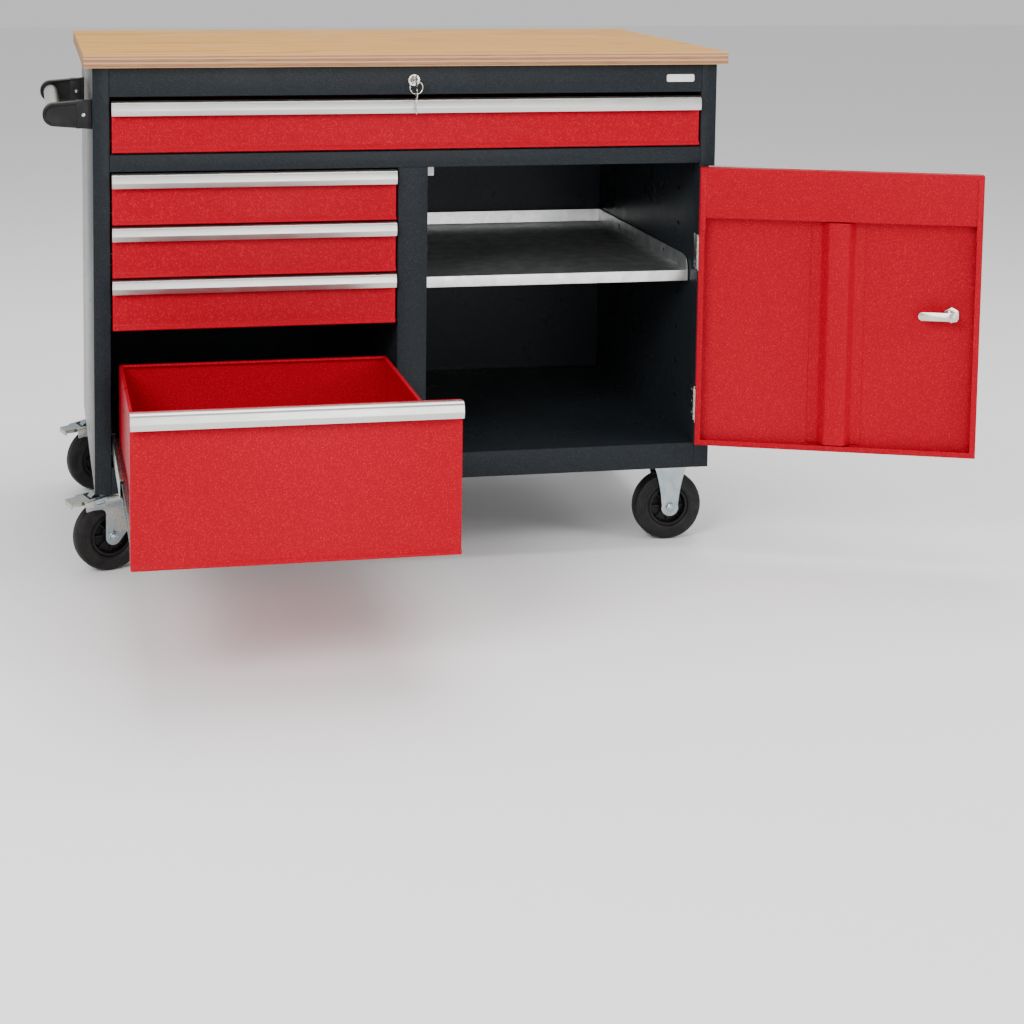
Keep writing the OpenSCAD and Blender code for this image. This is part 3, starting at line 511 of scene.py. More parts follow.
def startLine(run, start, end, first):
    tilt = (0, math.pi / 2, 0) if run == "Z" else (0, 0, 0)
    bpy.ops.mesh.primitive_plane_add(size=1, rotation=tilt)
    obj = bpy.context.object
    applyPlace(obj)
    openMesh(obj)
    length = end - start
    bpy.ops.transform.resize(value={"X": (length, 0, 0), "Y": (0, length, 0), "Z": (0, 0, length)}[run])
    bpy.ops.mesh.remove_doubles(threshold=0.00001)
    bpy.ops.transform.translate(value=inPlane(run, (start + end) / 2, first))
    bpy.ops.mesh.select_mode(type="EDGE")
    bpy.ops.mesh.select_all(action="SELECT")
    return obj


# sheet bent along its folds: outline is the outer skin, inward the way its thickness goes
def foldSheet(run, start, end, outline, wall, bend, inward):
    obj = startLine(run, start, end, outline[0])
    for a, b in zip(outline, outline[1:]):
        pull(inPlane(run, 0, (b[0] - a[0], b[1] - a[1])))
    closeMesh()
    skin = [p for p in obj.data.polygons if p.area > 0]
    first = min(skin, key=lambda p: (p.center - Vector(inPlane(run, (start + end) / 2, outline[0]))).length)
    side = 1 if first.normal.dot(Vector(inPlane(run, 0, inward))) > 0 else -1
    if bend:
        addModifier(obj, "BEVEL", width=bend, segments=3, limit_method="ANGLE", angle_limit=0.2)
    addModifier(obj, "SOLIDIFY", thickness=wall, offset=side, use_even_offset=True)
    roundEdges(obj, 0.15 * mm, 1, 1.0)
    tidyNormals(obj)
    return obj


# flat shape cut from plate, corners rounded by the radii given with them
def cutPlate(run, start, end, outline, edge=0.3 * mm, corners=()):
    bpy.ops.mesh.primitive_plane_add(size=1)
    obj = bpy.context.object
    openMesh(obj)
    bpy.ops.transform.resize(value=(0, 0, 0))
    bpy.ops.mesh.remove_doubles(threshold=0.001)
    bpy.ops.transform.translate(value=inPlane(run, start, outline[0]))
    bpy.ops.mesh.select_all(action="SELECT")
    for a, b in zip(outline, outline[1:]):
        pull(inPlane(run, 0, (b[0] - a[0], b[1] - a[1])))
    bpy.ops.mesh.select_all(action="SELECT")
    bpy.ops.mesh.edge_face_add()
    for index, radius in corners:
        spot = Vector(inPlane(run, start, outline[index]))
        choose("VERT", lambda v: (v.co - spot).length < 0.00005)
        bpy.ops.mesh.bevel(offset=radius, segments=6, affect="VERTICES")
    bpy.ops.mesh.select_mode(type="FACE")
    bpy.ops.mesh.select_all(action="SELECT")
    pull(inPlane(run, end - start, (0, 0)))
    closeMesh()
    tidyNormals(obj)
    if edge:
        roundEdges(obj, edge, 2)
    return obj


# outline of (radius, along) points spun round an axis through place
def turnRound(place, axis, outline, steps=48, close=False):
    way = Vector(axis).normalized()
    side = way.orthogonal().normalized()
    bpy.ops.mesh.primitive_plane_add(size=1)
    obj = bpy.context.object
    openMesh(obj)
    bpy.ops.transform.resize(value=(0, 0, 0))
    bpy.ops.mesh.remove_doubles(threshold=0.001)
    spots = [Vector(place) + side * r + way * h for r, h in outline]
    if close:
        spots.append(spots[0])
    bpy.ops.transform.translate(value=spots[0])
    bpy.ops.mesh.select_all(action="SELECT")
    for a, b in zip(spots, spots[1:]):
        pull(b - a)
    bpy.ops.mesh.select_all(action="SELECT")
    bpy.ops.mesh.remove_doubles(threshold=0.000002)
    bpy.ops.mesh.select_all(action="SELECT")
    bpy.ops.mesh.spin(steps=steps, angle=math.tau, center=Vector(place), axis=way)
    closeMesh()
    tidyNormals(obj)
    return obj


def roundBar(start, end, radius, edge=0.4 * mm, sides=32):
    start, end = Vector(start), Vector(end)
    way = end - start
    bpy.ops.mesh.primitive_cylinder_add(vertices=sides, radius=radius, depth=way.length, end_fill_type="NGON")
    obj = bpy.context.object
    obj.matrix_world = Matrix.Translation((start + end) / 2) @ way.to_track_quat("Z",
        "Y").to_matrix().to_4x4()
    applyPlace(obj)
    if edge:
        roundEdges(obj, edge, 2)
    return obj


def squareBlock(low, high, edge=0.4 * mm, steps=2):
    low, high = Vector(low), Vector(high)
    bpy.ops.mesh.primitive_cube_add(size=1, location=(low + high) / 2)
    obj = bpy.context.object
    obj.scale = high - low
    applyPlace(obj)
    if edge:
        roundEdges(obj, edge, steps)
    return obj


def carve(obj, cutter, how="DIFFERENCE"):
    addModifier(obj, "BOOLEAN", operation=how, object=cutter, solver="EXACT")
    bpy.data.objects.remove(cutter)
    return obj


def finishPiece(obj, name, body, finish, nodes=(), smooth=40):
    obj.name = name
    obj.data.name = name
    applyPlace(obj)
    obj.data.materials.clear()
    obj.data.materials.append(finishes[finish])
    workOn(obj)
    bpy.ops.object.shade_smooth_by_angle(angle=math.radians(smooth))
    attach(obj, body)
    if nodes:
        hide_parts(*nodes)
    letGo()
    return obj


# a carried-over part with its doubled points merged and its edges eased
def easedCopy(node, name, body, finish, edge, steps=2):
    source = frame["nodes"][node]
    made = bpy.data.objects.new(name, source.data.copy())
    bpy.context.collection.objects.link(made)
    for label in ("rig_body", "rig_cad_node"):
        if label in made:
            del made[label]
    openMesh(made)
    bpy.ops.mesh.remove_doubles(threshold=0.000005)
    bpy.ops.mesh.dissolve_limited(angle_limit=0.02)
    closeMesh()
    roundEdges(made, edge, steps, 0.6)
    return finishPiece(made, name, body, finish, [node])


topValues = {"easing": 1.2 * mm}


def makeWorktop(v):
    board = squareBlock(boardLow, boardHigh, 0)
    openMesh(board, "EDGE")
    choose("EDGE", lambda e: abs(e.verts[0].co.z - e.verts[1].co.z) > 0.001)
    bpy.ops.mesh.bevel(offset=2 * mm, segments=3, affect="EDGES")
    closeMesh()
    roundEdges(board, v["easing"], 3)
    finishPiece(board, "worktopBoard", "carcass", "oakVeneer", ["worktop"], 30)
    board.data.materials.append(finishes["plyEdge"])
    for face in board.data.polygons:
        if abs(face.normal.z) < 0.5:
            face.material_index = 1


makeWorktop(topValues)
print("worktop made")

shellValues = {"wall": 1.5 * mm, "bend": 2.0 * mm, "tight": 1.2 * mm, "flange": 18 * mm,
               "postReturn": 30 * mm}
sideLow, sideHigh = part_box("side_left")
headLow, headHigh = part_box("rail_top")
frontY, rearY, halfW, innerX = sideLow.y, sideHigh.y, -sideLow.x, headHigh.x


def makeShell(v):
    for node, name in (("rail_top", "headRail"), ("rail_mid", "middleRail"), ("rail_bottom", "footRail")):
        low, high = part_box(node)
        outline = [(high.y, high.z), (low.y, high.z), (low.y, low.z), (high.y, low.z)]
        rail = foldSheet("X", low.x, high.x, outline, v["wall"], v["tight"], (0, -1))
        finishPiece(rail, name, "carcass", "anthracite", [node])
    low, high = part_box("centre_post")
    outline = [(low.x, high.y), (low.x, low.y), (high.x, low.y), (high.x, high.y)]
    post = foldSheet("Z", low.z, high.z, outline, v["wall"], v["bend"], (1, 0))
    finishPiece(post, "centrePost", "carcass", "anthracite", ["centre_post"])
    outline = [(-innerX, frontY + v["postReturn"]), (-innerX, frontY), (-halfW, frontY),
               (-halfW, rearY - v["wall"]), (-halfW + v["flange"], rearY - v["wall"])]
    side = foldSheet("Z", sideLow.z, sideHigh.z, outline, v["wall"], v["bend"], (-1, 0))
    mirrored = copyOf(side, Matrix.Scale(-1, 4, (1, 0, 0)))
    tidyNormals(mirrored)
    finishPiece(side, "leftSidePanel", "carcass", "anthracite", ["side_left"])
    finishPiece(mirrored, "rightSidePanel", "carcass", "anthracite", ["side_right"])


makeShell(shellValues)
print("carcass shell made")

frontValues = {"skin": 1.2 * mm, "bend": 1.4 * mm, "lipOut": 5 * mm, "lipHigh": 9 * mm, "lipFlat": 3 * mm}
stripValues = {"wall": 1.6 * mm, "bend": 0.7 * mm, "out": 12 * mm, "tuck": 6 * mm, "cap": 2 * mm}


# pressed tray: face plate with its four edges folded back
def pressTray(x0, x1, z0, z1, faceY, deep, rim, v, lip=None):
    bpy.ops.mesh.primitive_plane_add(size=1, rotation=(math.pi / 2, 0, 0))
    tray = bpy.context.object
    tray.scale = (x1 - x0, z1 - z0, 1)
    tray.location = ((x0 + x1) / 2, faceY, (z0 + z1) / 2)
    applyPlace(tray)
    openMesh(tray, "FACE")
    if lip:
        for level in (z0 + lip["lipHigh"], z0 + lip["lipFlat"]):
            bpy.ops.mesh.select_all(action="SELECT")
            bpy.ops.mesh.bisect(plane_co=(0, faceY, level), plane_no=(0, 0, 1))
        choose("VERT", lambda p: p.co.z < z0 + lip["lipFlat"] + 0.0001)
        bpy.ops.transform.translate(value=(0, -lip["lipOut"], 0))
    choose("EDGE", lambda e: len(e.link_faces) == 1)
    pull((0, deep, 0))
    if lip:
        choose("VERT", lambda p: abs(p.co.y - faceY - deep + lip["lipOut"]) < 0.0002)
        bpy.ops.transform.translate(value=(0, lip["lipOut"], 0))
    if rim:
        choose("EDGE", lambda e: len(e.link_faces) == 1)
        pull((0, 0, 0))
        bpy.ops.transform.resize(value=(1 - 2 * rim / (x1 - x0), 1, 1 - 2 * rim / (z1 - z0)))
    bpy.ops.mesh.select_all(action="SELECT")
    closeMesh()
    face = min(tray.data.polygons, key=lambda p: (p.center - Vector(((x0 + x1) / 2, faceY,
        (z0 + z1) / 2))).length)
    side = 1 if face.normal.y > 0 else -1
    roundEdges(tray, v["bend"], 3, 0.3)
    addModifier(tray, "SOLIDIFY", thickness=v["skin"], offset=side, use_even_offset=True)
    tidyNormals(tray)
    return tray


def makeStrip(x0, x1, faceY, topZ, high, v):
    out, cap = v["out"], v["cap"]
    shape = [(v["tuck"], 0), (-out * 0.20, 0), (-out * 0.62, -high * 0.07), (-out * 0.80, -high * 0.17),
             (-out, -high * 0.62), (-out * 0.82, -high)]
    shape = [(faceY + y, topZ + z) for y, z in shape]
    strip = foldSheet("X", x0, x1, shape, v["wall"], v["bend"], (0, -1))
    backLeg = [(faceY - v["wall"], topZ - cap * 0.5), (faceY - v["wall"], topZ - high * 0.8)]
    leg = foldSheet("X", x0, x1, backLeg, v["wall"], 0, (1, 0))
    return joinAll([strip, leg])


def makeFront(node, gripNode, body, name, v):
    low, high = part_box(node)
    gripLow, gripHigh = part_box(gripNode)
    faceY = low.y + v["lipOut"]
    tray = pressTray(low.x, high.x, low.z, high.z, faceY, high.y - faceY, 0, v, v)
    finishPiece(tray, name + "Front", body, "signalRed", [node])
    strip = makeStrip(gripLow.x, gripHigh.x, faceY, gripHigh.z, gripHigh.z - gripLow.z, stripValues)
    finishPiece(strip, name + "GripStrip", body, "aluminium", [gripNode])


makeFront("top_front_panel", "top_grip", "top_drawer", "wideDrawer", frontValues)
for which in ("upper", "middle", "lower"):
    makeFront(which + "_front", which + "_grip", which + "_drawer", which + "Drawer", frontValues)
makeFront("deep_front", "deep_grip", "deep_drawer", "deepDrawer", frontValues)
print("drawer fronts and grip strips made")

boxValues = {"skin": 1.2 * mm, "bend": 1.3 * mm, "hem": 6 * mm, "hemDown": 4 * mm, "runnerOut": 11 * mm,
             "runnerFront": 20 * mm, "runnerBack": 5 * mm, "runnerZ": 10 * mm, "runnerHigh": 16 * mm}


# open box with its top edges folded over
def makeBox(node, body, name, hasRunners, v):
    low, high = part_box(node)
    if hasRunners:
        low, high = low + Vector((v["runnerOut"], 0, 0)), high - Vector((v["runnerOut"], 0, 0))
    size, middle = high - low, (low + high) / 2
    bpy.ops.mesh.primitive_cube_add(size=1, location=middle)
    box = bpy.context.object
    box.scale = size
    applyPlace(box)
    openMesh(box, "FACE")
    choose("FACE", lambda f: f.normal.z > 0.5)
    bpy.ops.mesh.delete(type="FACE")
    choose("EDGE", lambda e: len(e.link_faces) == 1)
    pull((0, 0, 0))
    bpy.ops.transform.resize(value=(1 - 2 * v["hem"] / size.x, 1 - 2 * v["hem"] / size.y, 1))
    pull((0, 0, -v["hemDown"]))
    closeMesh()
    floor = min(box.data.polygons, key=lambda p: p.center.z)
    side = -1 if floor.normal.z < 0 else 1
    roundEdges(box, v["bend"], 3, 0.3)
    addModifier(box, "SOLIDIFY", thickness=v["skin"], offset=side, use_even_offset=True)
    tidyNormals(box)
    parts = [box]
    if hasRunners:
        y0, y1 = low.y + v["runnerFront"], high.y - v["runnerBack"]
        z0 = low.z + v["runnerZ"]
        z1 = z0 + v["runnerHigh"]
        for sx, edgeX in ((-1, low.x), (1, high.x)):
            outer = edgeX + sx * v["runnerOut"]
            shape = [(edgeX, z0), (outer, z0), (outer, z1), (edgeX, z1)]
            parts.append(foldSheet("Y", y0, y1, shape, v["skin"], 1.0 * mm, (0, 1)))
    box = joinAll(parts)
    finishPiece(box, name + "Box", body, "signalRed", [node])


makeBox("top_box", "top_drawer", "wideDrawer", True, boxValues)
for which in ("upper", "middle", "lower"):
    makeBox(which + "_box", which + "_drawer", which + "Drawer", True, boxValues)
makeBox("deep_box", "deep_drawer", "deepDrawer", False, boxValues)
easedCopy("deep_mids", "deepSlideMiddles", "deep_slide_mids", "zincPlate", 0.3 * mm)
easedCopy("deep_runners", "deepSlideRunners", "deep_drawer", "zincPlate", 0.3 * mm)
easedCopy("slides_outer", "slideChannels", "carcass", "zincPlate", 0.3 * mm)
print("drawer boxes made")


doorValues = {
    "gap": 3 * mm, "deep": 20 * mm, "skin": 1.2 * mm, "bend": 1.4 * mm, "rim": 10 * mm, "cap": 2 * mm,
    "channelHigh": 88 * mm, "hatWide": 92 * mm, "hatFoot": 17 * mm, "hatSlope": 12 * mm, "hatLow": 11 * mm,
    "stripShort": 14 * mm, "stripHigh": 24 * mm, "earWide": 9 * mm, "earLow": 22 * mm,
    "lockIn": 46 * mm, "camReach": 58 * mm, "camHigh": 15 * mm, "camBehind": 5 * mm,
}
postLow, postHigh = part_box("centre_post")
footLow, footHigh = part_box("rail_bottom")
middleLow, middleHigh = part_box("rail_mid")
hingeAt = Vector(jointSpec["door_hinge"]["pos_m"])
doorTurn = -math.radians(jointSpec["door_hinge"]["range_deg"][0])
openPlace = (Matrix.Translation(hingeAt) @ Matrix.Rotation(doorTurn, 4, "Z") @ Matrix.Translation(-hingeAt))


def swingOpen(obj):
    obj.data.transform(openPlace)
    return obj


def hexNut(place, axis, across, high, bore):
    way = Vector(axis).normalized() * high
    nut = roundBar(place, Vector(place) + way, across / math.sqrt(3), 0, 6)
    chamfer = turnRound(place, axis, [(0, -0.001), (across * 0.53, -0.001), (across * 0.60, high * 0.12),
                                      (across * 0.60, high * 0.80), (across * 0.50, high), (0, high)], 32)
    carve(nut, chamfer, "INTERSECT")
    tip = roundBar(Vector(place) + way * 0.6, Vector(place) + way * 1.25, bore, 0.4 * mm, 24)
    return joinAll([nut, tip])


def makeDoor(v):
    x0, x1 = postHigh.x + v["gap"], innerX - v["gap"]
    z0, z1 = footHigh.z + v["gap"], middleLow.z - v["gap"] - v["cap"]
    backY = frontY + v["deep"]
    tray = pressTray(x0, x1, z0, z1, frontY, v["deep"], v["rim"], v)
    finishPiece(swingOpen(tray), "doorTray", "door", "signalRed", ["door_skin"])
    low = z1 - v["channelHigh"]
    shape = [(frontY + 2 * v["skin"], low), (backY + v["skin"], low), (backY + v["skin"], z1)]
    cover = foldSheet("X", x0 + v["rim"] * 0.15, x1 - v["rim"] * 0.15, shape, v["skin"], v["bend"], (0, 1))
    ears = []
    for a in (x0 + 2 * mm, x1 - v["earWide"] - 2 * mm):
        b = a + v["earWide"]
        outline = [(a, low - v["earLow"]), (b, low - v["earLow"]), (b, z1 - 6 * mm), (a, z1 - 6 * mm)]
        ears.append(cutPlate("Y", backY + v["skin"], backY + 2 * v["skin"], outline, 0.3 * mm,
                             [(0, 2 * mm), (1, 2 * mm)]))
    cover = joinAll([cover] + ears)
    finishPiece(swingOpen(cover), "doorChannel", "door", "signalRed", ["door_channel"])
    middle, foot = (x0 + x1) / 2, v["hatWide"] / 2 - v["hatFoot"]
    crown = foot - v["hatSlope"]
    y0, y1 = frontY + 2 * v["skin"], backY - v["skin"]
    shape = [(middle - v["hatWide"] / 2, y0), (middle - foot, y0), (middle - crown, y1), (middle + crown, y1),
             (middle + foot, y0), (middle + v["hatWide"] / 2, y0)]
    hat = foldSheet("Z", z0 + v["hatLow"], low - 2 * mm, shape, v["skin"], 3.0 * mm, (0, -1))
    finishPiece(swingOpen(hat), "doorStiffener", "door", "signalRed", ["door_stiffener"])
    strip = makeStrip(x0, x1 - v["stripShort"], frontY, z1 + v["cap"], v["stripHigh"], stripValues)
    finishPiece(swingOpen(strip), "doorGripStrip", "door", "aluminium", ["door_grip"])
    lock = Vector((x0 + v["lockIn"], 0, (z0 + z1 + v["cap"]) / 2))
    at = lock + Vector((0, frontY, 0))
    camY = backY + v["camBehind"]
    body = turnRound(at, (0, 1, 0), [
        (0, -2.5 * mm), (4.2 * mm, -2.5 * mm), (4.2 * mm, -1.9 * mm), (5.0 * mm, -1.9 * mm),
        (5.4 * mm, -2.5 * mm),
        (9.8 * mm, -2.3 * mm), (10.5 * mm, -1.5 * mm), (10.5 * mm, 0), (8.5 * mm, 0),
        (8.5 * mm, camY - frontY - 0.2 * mm), (3.0 * mm, camY - frontY - 0.2 * mm),
        (3.0 * mm, camY - frontY + 8 * mm), (0, camY - frontY + 8.5 * mm)], 40)
    ring = hexNut(at + Vector((0, v["skin"] * 1.2, 0)), (0, 1, 0), 24 * mm, 4 * mm, 8.4 * mm)
    finishPiece(swingOpen(joinAll([body, ring])), "doorLock", "door", "nickel", ["door_lock"])
    half, reach, tail = v["camHigh"] / 2, v["camReach"], 8 * mm
    outline = [(lock.x - tail, lock.z - half), (lock.x + reach, lock.z - half),
               (lock.x + reach, lock.z + half), (lock.x - tail, lock.z + half)]
    rounded = [(i, half * 0.97) for i in (1, 2)] + [(i, 3 * mm) for i in (0, 3)]
    blade = cutPlate("Y", camY, camY + 2 * mm, outline, 0.4 * mm, rounded)
    washer = turnRound(lock + Vector((0, camY + 2 * mm, 0)), (0, 1, 0),
                       [(0, 0), (7.6 * mm, 0), (7.6 * mm, 0.8 * mm), (0, 0.8 * mm)], 32)
    nut = hexNut(lock + Vector((0, camY + 2.8 * mm, 0)), (0, 1, 0), 11 * mm, 4.2 * mm, 2.9 * mm)
    cam = joinAll([blade, washer, nut])
    finishPiece(swingOpen(cam), "doorCam", "door_cam", "nickel", ["door_cam"])


makeDoor(doorValues)
print("door made")

hingeValues = {"screwOut": 0.5 * mm, "screwRadius": 2.6 * mm, "rows": (-0.021, 0.0, 0.021),
               "inFromFront": 12 * mm}


# countersunk screw head with a crossed recess
def screwHead(place, axis, radius, out):
    head = turnRound(place, axis, [(0, -0.4 * mm), (radius * 0.8, -0.4 * mm), (radius, 0),
                                   (radius * 0.9, out * 0.7),
                                   (radius * 0.5, out), (0, out * 1.1)], 24)
    way = Vector(axis).normalized()
    side = way.orthogonal().normalized()
    over = way.cross(side)
    for a, b in ((side, over), (over, side)):
        reach = a * radius * 0.62 + b * radius * 0.14 + way * out * 1.5
        low = Vector(place) - a * radius * 0.62 - b * radius * 0.14 + way * out * 0.45
        corners = [low, Vector(place) + reach]
        slotLow = Vector([min(c[i] for c in corners) for i in range(3)])
        slotHigh = Vector([max(c[i] for c in corners) for i in range(3)])
        carve(head, squareBlock(slotLow, slotHigh, 0))
    return head


def makeHinges(v):
    low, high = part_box("hinge_leaves")
    easedCopy("hinge_leaves", "hingeFixedLeaves", "carcass", "zincPlate", 0.25 * mm)
    easedCopy("door_leaves", "hingeDoorLeaves", "door", "zincPlate", 0.25 * mm)
    firstZ, lastZ = low.z + 0.030, high.z - 0.030
    faceX = innerX - doorValues["gap"] * 0.37
    first = screwHead((faceX, frontY + v["inFromFront"], 0), (-1, 0, 0), v["screwRadius"], v["screwOut"])
    screws = []
    for middle in (firstZ, lastZ):
        for row in v["rows"]:
            screws.append(copyOf(first, Matrix.Translation((0, 0, middle + row))))
    bpy.data.objects.remove(first)
    finishPiece(joinAll(screws), "hingeScrews", "carcass", "nickel", smooth=30)


makeHinges(hingeValues)
print("hinges made")

keyValues = {"bow": 10 * mm, "hole": 3 * mm, "blank": 2 * mm, "blade": 6 * mm, "bladeLong": 25 * mm,
             "ring": 11 * mm, "wire": 0.9 * mm, "plug": 5 * mm, "cap": 10.5 * mm}


# flat key: round bow with a hole, stepped blade with cut teeth, lying in the plane x = 0, tip toward +Y
def makeKey(v):
    half, b = v["blank"] / 2, v["bow"]
    bow = turnRound((-half, -b, 0), (1, 0, 0),
                    [(v["hole"], 0), (b * 0.93, 0), (b, half * 0.5), (b, half * 1.5),
                                               (b * 0.93, 2 * half), (v["hole"], 2 * half)], 40, True)
    h, length = v["blade"] / 2, v["bladeLong"]
    teeth = [(-2 * mm, h), (-2 * mm, -h)]
    for i in range(6):
        start = 5 * mm + i * (length - 8 * mm) / 6
        deep = (0.9, 1.7, 1.2, 2.0, 1.0, 1.5)[i] * mm
        teeth += [(start, -h), (start + 1.0 * mm, -h + deep), (start + 1.9 * mm, -h + deep)]
    teeth += [(length - 3 * mm, -h), (length, -h * 0.3), (length, h * 0.5), (length - 1.5 * mm, h)]
    blade = cutPlate("X", -half * 0.8, half * 0.8, teeth, 0.15 * mm)
    return joinAll([bow, blade])


def makeLock(v):
    at = Vector(jointSpec["key_turn"]["pos_m"])
    pivot = Vector(jointSpec["key_ring_swing"]["pos_m"])
    face = Vector((at.x, frontY, at.z))
    cap, plug = v["cap"], v["plug"]
    barrel = turnRound(face, (0, 1, 0), [
        (plug + 0.1 * mm, -2.6 * mm), (cap * 0.62, -3 * mm), (cap * 0.92, -2.7 * mm), (cap, -1.8 * mm),
        (cap, 0),
        (8.5 * mm, 0), (8.5 * mm, 17 * mm), (plug + 0.1 * mm, 17 * mm)], 48, True)
    finishPiece(barrel, "railLock", "carcass", "nickel", ["lock_body"])
    core = turnRound(face, (0, 1, 0), [(0, -3.4 * mm), (plug * 0.9, -3.4 * mm), (plug, -2.9 * mm),
                                       (plug, 13 * mm), (0, 13 * mm)], 40)
    blank = makeKey(v)
    used = copyOf(blank, Matrix.Translation((at.x, pivot.y + v["bow"], at.z)))
    finishPiece(joinAll([core, used]), "keyInLock", "key", "nickel", ["key"])
    bpy.ops.mesh.primitive_torus_add(major_radius=v["ring"], minor_radius=v["wire"], major_segments=64,
                                     minor_segments=12,
                                     rotation=(math.pi / 2, 0, 0), location=pivot - Vector((0, 0, v["ring"])))
    ring = bpy.context.object
    applyPlace(ring)
    openMesh(ring, "FACE")
    choose("FACE", lambda f: f.calc_center_median().x < pivot.x - v["ring"] *
           0.5 and f.calc_center_median().z < pivot.z - v["ring"])
    bpy.ops.transform.translate(value=(0, -0.5 * mm, 0))
    closeMesh()
    hang = Matrix.Translation(pivot - Vector((0, 0, 2 * v["ring"]))) @ Matrix.Rotation(math.radians(-90), 4,
        "X") @ Matrix.Translation((0, v["bow"], 0))
    spare = copyOf(blank, hang)
    bpy.data.objects.remove(blank)
    finishPiece(joinAll([ring, spare]), "keyRing", "key_ring", "nickel", ["key_ring"])


makeLock(keyValues)
print("lock and keys made")

shelfValues = {"skin": 1.2 * mm, "bend": 1.3 * mm, "lip": 20 * mm, "lipFold": 12 * mm, "hole": 4.5 * mm,
               "corner": 12 * mm, "holesAt": (0.25, 0.75)}


def makeShelf(v):
    low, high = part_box("shelf")
    top = low.z + v["lip"]
    shape = [(low.y + v["lipFold"], low.z), (low.y, low.z), (low.y, top), (high.y, top), (high.y, high.z)]
    pan = foldSheet("X", low.x, high.x, shape, v["skin"], v["bend"], (0, 1))
    parts = [pan]
    y0 = low.y + 2 * mm
    outline = [(y0, top - v["skin"]), (high.y - v["skin"], top - v["skin"]), (high.y - v["skin"], high.z),
               (y0 + 22 * mm, high.z),
               (y0 + 6 * mm, high.z - 5 * mm), (y0, top + 6 * mm)]
    wall = cutPlate("X", low.x, low.x + v["skin"], outline, 0, [(3, v["corner"]), (4, 4 * mm)])
    for share in v["holesAt"]:
        y = low.y + (high.y - low.y) * share
        middle = (top + high.z) / 2
        carve(wall, roundBar((low.x - 5 * mm, y, middle), (low.x + 5 * mm, y, middle), v["hole"], 0))
    roundEdges(wall, 0.2 * mm, 1, 0.9)
    other = copyOf(wall, Matrix.Translation((high.x - low.x - v["skin"], 0, 0)))
    shelf = joinAll([pan, wall, other])
    finishPiece(shelf, "shelfPan", "carcass", "galvanised", ["shelf"])


makeShelf(shelfValues)
print("shelf made")

handleValues = {"thick": 28 * mm, "edge": 2.2 * mm, "inset": 4.0 * mm, "sunk": 1.6 * mm,
                "pad": 26 * mm, "foot": 5 * mm}


def makeHandle(v):
    tubeLow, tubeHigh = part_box("handle_tube")
    bracketLow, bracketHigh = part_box("handle_brackets")
    axisX, axisZ = (tubeLow.x + tubeHigh.x) / 2, (tubeLow.z + tubeHigh.z) / 2
    tubeR = (tubeHigh.z - tubeLow.z) / 2
    nose = axisX - bracketLow.x
    foot = nose + v["foot"]
    wallX = -halfW
    arc = [(axisX + nose * math.cos(a), axisZ + nose * math.sin(a))
           for a in (math.radians(96 + i * 168 / 16) for i in range(17))]
    outline = [(wallX, axisZ - foot), (wallX, axisZ + foot)] + arc
    y0 = bracketLow.y
    arm = cutPlate("Y", y0, y0 + v["thick"], outline, 0)
    openMesh(arm, "FACE")
    choose("FACE", lambda f: abs(f.normal.y) > 0.9)
    bpy.ops.mesh.inset(thickness=v["inset"], depth=0)
    bpy.ops.mesh.inset(thickness=0.8 * mm, depth=-v["sunk"])
    closeMesh()
    pad = squareBlock((wallX - v["pad"], y0 + 0.2 * mm, axisZ - foot + 1 * mm),
                      (wallX, y0 + v["thick"] - 0.2 * mm, axisZ + foot - 1 * mm), 0)
    roundEdges(arm, v["edge"], 3, 0.7)
    roundEdges(pad, 1.0 * mm, 2)
    arm = joinAll([arm, pad])
    head = screwHead((wallX - v["pad"] * 0.55, y0 + 0.2 * mm, axisZ), (0, -1, 0), 3.2 * mm, 0.8 * mm)
    step = bracketHigh.y - v["thick"] - y0
    second = copyOf(arm, Matrix.Translation((0, step, 0)))
    secondHead = copyOf(head, Matrix.Translation((0, step, 0)))
    finishPiece(joinAll([arm, second]), "handleBrackets", "carcass", "blackPlastic",
                ["handle_brackets"])
    finishPiece(joinAll([head, secondHead]), "handleScrews", "carcass", "nickel", smooth=30)
    tube = turnRound((axisX, tubeLow.y, axisZ), (0, 1, 0), [
        (tubeR - 1.5 * mm, 0), (tubeR - 0.4 * mm, 0), (tubeR, 0.4 * mm),
        (tubeR, tubeHigh.y - tubeLow.y - 0.4 * mm),
        (tubeR - 0.4 * mm, tubeHigh.y - tubeLow.y), (tubeR - 1.5 * mm, tubeHigh.y - tubeLow.y)], 64, True)
    finishPiece(tube, "handleTube", "carcass", "aluminium", ["handle_tube"])


makeHandle(handleValues)
print("push handle made")

wheelValues = {"halfWide": 18 * mm, "hubWide": 40 * mm, "rimDeep": 26 * mm, "fit": 0.1 * mm, "web": 3 * mm,
               "ribs": 8, "hub": 11 * mm, "bore": 5.1 * mm}


